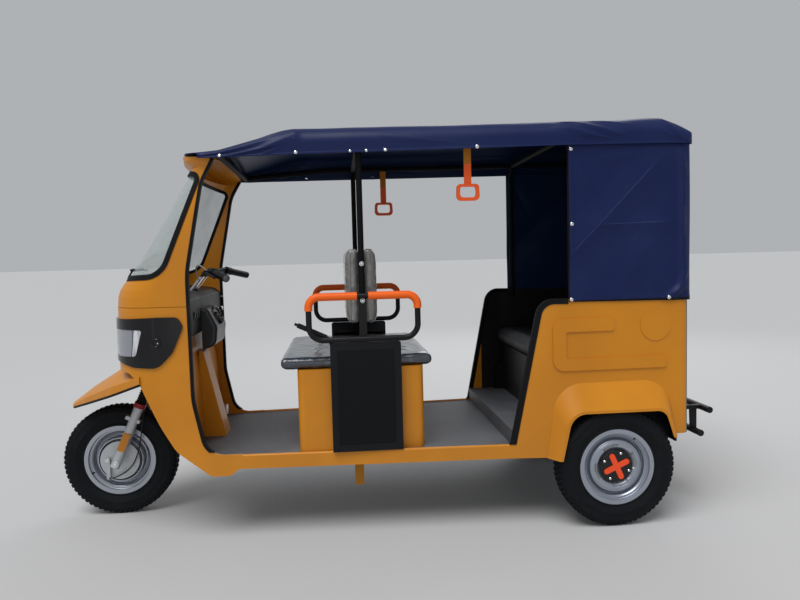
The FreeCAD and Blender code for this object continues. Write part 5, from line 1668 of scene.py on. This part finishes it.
@dataclass
class WheelFittings:
    """Nuts on the rear hubs and the front axle, and the tyres' valves."""

    nut: Rows = ((0.0, 0.0068), (0.0040, 0.0062), (0.0060, 0.0042), (0.0066, 0.0), (0.0066, -0.0012),
                 (0.0, -0.0012))
    nut_circle: float = 0.060
    nut_angles: tuple[float, ...] = (71.0, 155.0, 241.0, 339.0)
    hub_face: float = 0.030
    half_track: float = 0.511
    axle_end: float = 0.1165
    axle_nut: Pair = (0.011, 0.0125)
    cam: Triple = (-1.3165, -0.0615, 0.269)
    cam_nut: Pair = (-0.007, 0.0085)
    valve_angles: Pair = (54.0, 205.0)
    valve_line: Rows = ((0.1375, 0.010), (0.1440, 0.021), (0.1500, 0.034))

    @staticmethod
    def spoke(degrees: float) -> Vector:
        """Direction out from a wheel's axle at an angle."""
        angle = math.radians(degrees)
        return Vector((math.cos(angle), 0.0, math.sin(angle)))

    def valve(self, rider: Assembly, name: str, centre: Vector, side: float, degrees: float) -> None:
        """Fits a rubber valve with its cap, pointing outwards in the rim's well.

        Args:
            rider: The wheel's assembly.
            name: The valve's name.
            centre: The wheel's centre.
            side: The side it points to, by the sign of Y.
            degrees: Its angle round the wheel.
        """
        foot, neck, tip = (centre + self.spoke(degrees) * out + ALONG_Y * (side * across)
                           for out, across in self.valve_line)
        stem = Workbench.rod("valve", foot, neck, 0.0052, 16, 0.001)
        cap = Workbench.rod("valve_cap", neck, tip, 0.0042, 16, 0.0012)
        rider.fit(Workbench.join(name, [stem, cap]), TRIM_RUBBER, "black_rubber")

    def nut_on(self, name: str, foot: Vector, way: float, nut: Pair) -> Piece:
        """A nut that stands on a point along Y, as high and as wide as its pair says."""
        return Workbench.hexagon(name, foot, foot + ALONG_Y * (way * nut[0]), nut[1])

    def rear(self, side: Side) -> None:
        """Fits one rear wheel's four domed nuts and its valve.

        Args:
            side: The wheel's side.
        """
        label = side.name.lower()
        rider = Assembly("rear_wheel_" + label)
        centre = Vector((REAR_AXLE[0], side.value * self.half_track, REAR_AXLE[1]))
        face = centre + ALONG_Y * (side.value * self.hub_face)
        turns = [Workbench.upright(face + self.spoke(degrees) * self.nut_circle, ALONG_Y * side.value)
                 for degrees in self.nut_angles]
        rider.turned("hub_nuts_" + label, self.nut, 18, turns, CHROME, "steel_bright")
        self.valve(rider, "valve_" + label, centre, side.value, self.valve_angles[0])

    def front(self) -> None:
        """The front axle's nuts, the brake cam's nut and the front valve."""
        nuts = [self.nut_on("axle_nut", FRONT_AXLE + ALONG_Y * (side.value * self.axle_end), side.value,
                            self.axle_nut) for side in Side]
        nuts.append(self.nut_on("cam_nut", Vector(self.cam), 1.0, self.cam_nut))
        Assembly("steering").fit(Workbench.join("fork_nuts", nuts), CHROME, "steel_bright")
        self.valve(Assembly("front_wheel"), "valve_front", FRONT_AXLE, -1.0, self.valve_angles[1])

    def build(self) -> None:
        """Fits all three wheels."""
        for side in Side:
            self.rear(side)
        self.front()


@dataclass
class FrontEnd(Assembly):
    """The headlamp panels' round recesses, the parked wiper and the mudguard's edging."""

    recess: Rows = ((0.0, 0.0010), (0.0120, 0.0010), (0.0150, 0.0032), (0.0185, 0.0040), (0.0205, 0.0026),
                    (0.0215, -0.0012), (0.0, -0.0012))
    lamp: Rows = ((0.0, 0.0040), (0.0026, 0.0034), (0.0040, 0.0012), (0.0044, -0.0004), (0.0, -0.0004))
    recess_place: Pair = (-0.9657, 0.8653)
    lamp_shift: float = 0.0065
    wiper_height: float = 1.170
    wiper_reach: Pair = (-0.275, 0.085)
    wiper_feet: int = 10
    blade_lift: float = 0.006
    spine_lift: float = 0.0145
    arm_lift: float = 0.030
    arm_knee: Triple = (0.0, 0.03, -0.012)
    pivot_place: Pair = (0.045, 1.098)
    edge: tuple[Triple, ...] = (
        (-1.0485, 0.405, 0.686), (-1.1270, 0.3505, 0.6555), (-1.2045, 0.296, 0.625), (-1.2845, 0.223, 0.5955),
        (-1.3645, 0.150, 0.566), (-1.4145, 0.098, 0.548), (-1.4560, 0.054, 0.5325), (-1.4640, 0.030, 0.5300))
    edge_radius: float = 0.0052

    def recesses(self) -> None:
        """A dished round recess in each headlamp panel, with a small bright lamp."""
        panels = [self.piece("headlamp_panels")]
        landings = [self.from_side(panels, side, *self.recess_place) for side in Side]
        dishes = [Workbench.upright(point, normal) for point, normal in landings]
        lamps = [Workbench.upright(point + REARWARDS * self.lamp_shift + normal * 0.001, normal)
                 for point, normal in landings]
        self.turned("lamp_recesses", self.recess, 40, dishes, LAMP_BLACK, "lamp_black")
        self.turned("lamp_dots", self.lamp, 18, lamps, CHROME, "steel_bright")

    def wiper(self) -> None:
        """A parked wiper along the foot of the windscreen: blade, spine, clips, arm and its boss."""
        glass = [self.piece(name) for name in ("windscreen_glass", "windscreen_seal", "windscreen_surround")]
        low, high = self.wiper_reach
        step = (high - low) / (self.wiper_feet - 1)
        feet = [Workbench.land(glass, (-FAR_OUT, low + step * number, self.wiper_height), REARWARDS)
                for number in range(self.wiper_feet)]
        blade = [point + normal * self.blade_lift for point, normal in feet]
        spine = [point + normal * self.spine_lift for point, normal in feet[1:-1]]
        pieces = [Workbench.tube("wiper_blade", blade, 0.0034), Workbench.tube("wiper_spine", spine, 0.0040)]
        for point, normal in (feet[1], feet[4], feet[8]):
            start, end = point + normal * 0.004, point + normal * 0.016
            pieces.append(Workbench.rod("wiper_clip", start, end, 0.0046, 12, 0.0008))
        foot, out = Workbench.land(glass, (-FAR_OUT, *self.pivot_place), REARWARDS)
        grip, rise = feet[4]
        knee = Vector(self.arm_knee)
        arm = [foot + out * 0.024, foot + out * self.arm_lift - knee, grip + rise * self.arm_lift + knee,
               grip + rise * 0.018]
        pieces.append(Workbench.tube("wiper_arm", arm, 0.0046))
        pieces.append(Workbench.rod("wiper_boss", foot - out * 0.004, foot + out * 0.030, 0.0125, 24, 0.003))
        self.fit(Workbench.join("wiper", pieces), TRIM_RUBBER, "black_rubber")

    def edging(self) -> None:
        """Black rubber round the mudguard's lower edge."""
        near = [Vector((x, -y, z)) for x, y, z in self.edge]
        far = [Vector((x, y, z)) for x, y, z in reversed(self.edge)]
        strip = Workbench.tube("mudguard_edging", near + far, self.edge_radius)
        self.fit(strip, TRIM_RUBBER, "black_rubber")

    def build(self) -> None:
        """Adds the front's fittings."""
        self.recesses()
        self.wiper()
        self.edging()


@dataclass
class Controls(Assembly):
    """The bar's end caps, and the dial, key and switches on the dashboard."""

    bar_end: Triple = (-0.6785, -0.330, 1.130)
    bar_knee: Triple = (-0.7785, -0.1815, 1.164)
    cap: Rows = ((0.0, 0.0050), (0.0080, 0.0046), (0.0135, 0.0022), (0.0150, -0.0010), (0.0, -0.0010))
    dial_place: Triple = (-0.7815, 0.0, 0.945)
    dial_way: Triple = (-0.904, 0.0, -0.427)
    bezel: Rows = ((0.0, 0.0035), (0.0405, 0.0035), (0.0415, 0.0105), (0.0440, 0.0125), (0.0470, 0.0110),
                   (0.0485, 0.0040), (0.0485, -0.0200), (0.0, -0.0200))
    dial_step: int = 10
    dial_top: int = 60
    sweep: float = 240.0
    face: float = 0.0042
    tick_rings: Triple = (0.0315, 0.0345, 0.0375)
    figure_ring: float = 0.0255
    figure_size: float = 0.0095
    needle_value: float = 4.0
    needle_ring: float = 0.034
    switch_places: tuple[float, ...] = (-0.275, -0.235, -0.195)
    lock_place: float = 0.205
    switch_height: float = 0.965
    rocker_lean: float = 0.12

    def caps(self) -> None:
        """A rounded cap on each end of the handlebar."""
        end, knee = Vector(self.bar_end), Vector(self.bar_knee)
        turns = []
        for side in Side:
            flip = Vector((1.0, -side.value, 1.0))
            turns.append(Workbench.upright(end * flip, ((end - knee) * flip).normalized()))
        Assembly("steering").turned("bar_caps", self.cap, 28, turns, CASE_GREY, "pod_grey")

    def on_dial(self, value: float, ring: float) -> Vector:
        """Place on the dial's face for a value of its scale."""
        angle = math.radians(90.0 + self.sweep / 2 - self.sweep * value / self.dial_top)
        return Vector((math.cos(angle) * ring, math.sin(angle) * ring, self.face))

    def figure(self, value: int) -> Piece:
        """Makes one number of the dial's scale.

        Args:
            value: The number.

        Returns:
            Its mesh, in its place on the dial.
        """
        Workbench.clear()
        bpy.ops.object.text_add()
        text = bpy.context.object
        text.location = self.on_dial(value, self.figure_ring)
        for key, setting in {"body": str(value), "size": self.figure_size, "align_x": "CENTER",
                             "align_y": "CENTER", "extrude": 0.0003}.items():
            setattr(text.data, key, setting)
        bpy.ops.object.convert(target="MESH")
        return Workbench.settle(bpy.context.object, "dial_figure")

    def dial(self) -> None:
        """A round speed dial with ticks, plain numbers and a needle."""
        way = Vector(self.dial_way)
        start = Vector(self.dial_place) - way * 0.3
        point, normal = Workbench.land([self.piece("instrument_pod")], start, way)
        across = UPWARDS.cross(normal).normalized()
        turn = Matrix((across, normal.cross(across), normal)).transposed().to_4x4()
        place = Matrix.Translation(point) @ turn
        bezel = Workbench.lathe("dial_bezel", self.bezel, UPWARDS, 48)
        long, short, outer = self.tick_rings
        marks = []
        for value in range(0, self.dial_top + 1, self.dial_step // 2):
            ends = [self.on_dial(value, ring) for ring in (short if value % self.dial_step else long, outer)]
            marks.append(Workbench.rod("dial_tick", *ends, 0.0005, 8, 0.0001))
        marks += [self.figure(value) for value in range(0, self.dial_top + 1, self.dial_step * 2)]
        marks = Workbench.join("dial_marks", marks)
        needle = [Workbench.rod("dial_needle", (0.0054, 0.0030, 0.0060),
                                self.on_dial(self.needle_value, self.needle_ring), 0.0007, 12, 0.0002),
                  Workbench.rod("dial_boss", (0, 0, 0.0030), (0, 0, 0.0075), 0.0042, 20, 0.0008)]
        glass = Workbench.rod("dial_glass", (0, 0, 0.0088), (0, 0, 0.0098), 0.0412, 48, 0.0003)
        for piece, finish, slot in ((bezel, LAMP_BLACK, "lamp_black"), (marks, DIAL_WHITE, "pod_grey"),
                                    (Workbench.join("dial_needle", needle), NEEDLE_RED, "red_lens"),
                                    (glass, DIAL_GLASS, "clear_glass")):
            piece.data.transform(place)
            self.fit(piece, finish, slot)

    @staticmethod
    def slab(name: str, point: Vector, depth: Pair, half: Pair, edge: float) -> Piece:
        """A block round a point on the dashboard's rear face.

        Args:
            name: Its name.
            point: The point.
            depth: How far it reaches along X, from and to.
            half: Half its width and half its height.
            edge: Radius of its edges.

        Returns:
            The block.
        """
        low, high = (point + Vector((x, way * half[0], way * half[1])) for x, way in zip(depth, (-1.0, 1.0)))
        return Workbench.block(name, low, high, edge)

    def switches(self) -> None:
        """Three rocker switches and a key lock on the dashboard's rear face, beside the pod."""
        dash = [self.piece("dashboard")]
        landings = [Workbench.land(dash, (0.0, y, self.switch_height), -REARWARDS)[0]
                    for y in (*self.switch_places, self.lock_place)]
        pieces = []
        for point in landings[:-1]:
            pieces.append(self.slab("switch_frame", point, (-0.004, 0.003), (0.015, 0.022), 0.0015))
            rocker = self.slab("switch_rocker", point, (-0.002, 0.0065), (0.0105, 0.0175), 0.002)
            pieces.append(Workbench.tilt(rocker, point, self.rocker_lean, "Y"))
        self.fit(Workbench.join("dash_switches", pieces), LAMP_BLACK, "dash_black")
        point = landings[-1]
        start, end = point - REARWARDS * 0.004, point + REARWARDS * 0.010
        lock = Workbench.rod("key_lock", start, end, 0.013, 28, 0.002)
        blade = self.slab("key_blade", point, (0.008, 0.026), (0.0012, 0.004), 0.0005)
        bow = self.slab("key_bow", point, (0.024, 0.046), (0.0022, 0.011), 0.0018)
        self.fit(Workbench.join("key_and_lock", [lock, blade, bow]), CHROME, "steel_bright")

    def build(self) -> None:
        """Adds the driver's controls."""
        self.caps()
        self.dial()
        self.switches()


@dataclass
class RearEnd(Assembly):
    """A blank number plate on the rear panel."""

    face: float = 1.3555
    half: float = 0.130
    low: float = 0.495
    high: float = 0.625
    thickness: float = 0.0016
    inset: float = 0.006
    holes: Pair = (0.060, 0.560)

    def build(self) -> None:
        """Adds the plate with its raised border and two screws."""
        front = self.face + self.thickness
        low, high = (self.face, -self.half, self.low), (front, self.half, self.high)
        pieces = [Workbench.block("plate", low, high, 0.0006)]
        wide, low, high = self.half - self.inset, self.low + self.inset, self.high - self.inset
        for start, end in (((-wide, low), (wide, low)), ((-wide, high), (wide, high)),
                           ((-wide, low), (-wide, high)), ((wide, low), (wide, high))):
            pieces.append(Workbench.rod("plate_rim", (front, *start), (front, *end), 0.0014, 12, 0.0004))
        self.fit(Workbench.join("blank_plate", pieces), PLATE_WHITE, "pod_grey")
        bolts = []
        for side in Side:
            foot = Vector((self.face, side.value * self.holes[0], self.holes[1]))
            bolts.append(Workbench.hexagon("plate_bolt", foot, foot + REARWARDS * 0.0065, 0.0052))
        self.fit(Workbench.join("plate_bolts", bolts), CHROME, "steel_bright")


@dataclass
class Studio:
    """Floor, lights and the camera at the photograph's viewing angle."""

    camera_place: Triple = (-0.1922, -3.2770, 1.2014)
    yaw: float = 0.0935
    pitch: float = -0.0642
    roll: float = -0.0263
    lens: float = 29.63
    sensor: float = 36.0
    floor_size: float = 400.0
    floor_colour: Colour = (0.50, 0.50, 0.50)
    sky: Colour = (0.93, 0.96, 1.0)
    sky_strength: float = 0.46
    daylight: Triple = (-0.30, -0.42, 1.0)
    daylight_strength: float = 2.2
    daylight_width: float = 38.0
    middle: Triple = (0.0, 0.0, 0.9)

    def turn(self) -> Matrix:
        """The camera's rotation from its yaw, pitch and roll."""
        yaw, pitch, roll = self.yaw, self.pitch, self.roll
        ahead = Vector((math.sin(yaw) * math.cos(pitch), math.cos(yaw) * math.cos(pitch), math.sin(pitch)))
        right = Vector((math.cos(yaw), -math.sin(yaw), 0.0))
        up = right.cross(ahead)
        level = right * math.cos(roll) + up * math.sin(roll)
        tall = up * math.cos(roll) - right * math.sin(roll)
        return Matrix((level, tall, -ahead)).transposed().to_4x4()

    def camera(self) -> None:
        """Adds the camera and makes it the scene's."""
        data = bpy.data.cameras.new("photo_camera")
        data.lens = self.lens
        data.sensor_width = self.sensor
        data.sensor_fit = "HORIZONTAL"
        data.clip_end = self.floor_size / 2
        camera = bpy.data.objects.new("photo_camera", data)
        camera.matrix_world = Matrix.Translation(self.camera_place) @ self.turn()
        bpy.context.scene.collection.objects.link(camera)
        bpy.context.scene.camera = camera

    def lamp(self, name: str, kind: str, place: Point, aim: Point, power: float,
             **settings: float) -> None:
        """Adds a light.

        Args:
            name: Its name.
            kind: AREA or SUN.
            place: Where it hangs.
            aim: The point it faces.
            power: Watts, or watts a square metre for a sun.
            settings: Its other settings, such as size or angle.
        """
        data = bpy.data.lights.new(name, kind)
        data.energy = power
        for setting, value in settings.items():
            setattr(data, setting, value)
        light = bpy.data.objects.new(name, data)
        way = Vector(aim) - Vector(place)
        light.matrix_world = Matrix.Translation(place) @ way.to_track_quat("-Z", "Y").to_matrix().to_4x4()
        bpy.context.scene.collection.objects.link(light)

    def floor(self) -> None:
        """Adds the pale floor."""
        Workbench.clear()
        bpy.ops.mesh.primitive_plane_add(size=self.floor_size, location=(0.0, 0.0, 0.0))
        floor = bpy.context.object
        floor.name = "studio_floor"
        board = Board("studio_floor")
        floor.data.materials.append(board.surface(Base_Color=self.floor_colour, Roughness=0.75))

    def build(self) -> None:
        """Sets the floor, the light and the camera."""
        world = bpy.data.worlds.new("studio_sky")
        world.use_nodes = True
        back = world.node_tree.nodes["Background"]
        back.inputs["Color"].default_value = (*self.sky, 1.0)
        back.inputs["Strength"].default_value = self.sky_strength
        bpy.context.scene.world = world
        bpy.context.scene.view_settings.view_transform = "Standard"
        self.floor()
        self.lamp("soft_daylight", "SUN", Vector(self.daylight) * 6.0, ORIGIN, self.daylight_strength,
                  angle=math.radians(self.daylight_width))
        self.lamp("side_fill", "AREA", (-1.0, -7.5, 2.4), self.middle, 30.0, size=5.0)
        self.lamp("back_fill", "AREA", (2.6, 5.4, 4.2), self.middle, 60.0, size=4.0)
        self.camera()


def main() -> None:
    """Builds the sub-assemblies in order."""
    logging.basicConfig(level=logging.INFO, format="%(name)s %(message)s")
    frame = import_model()
    Assembly.nodes = frame["nodes"]
    Construction().dress(frame["nodes"])
    for group in (Canopy, Seats, Tyres, Fasteners, WheelFittings, FrontEnd, Controls, RearEnd):
        group().build()
        LOG.info("%s built", group.__name__)
    Studio().build()


if __name__ == "__main__":
    main()
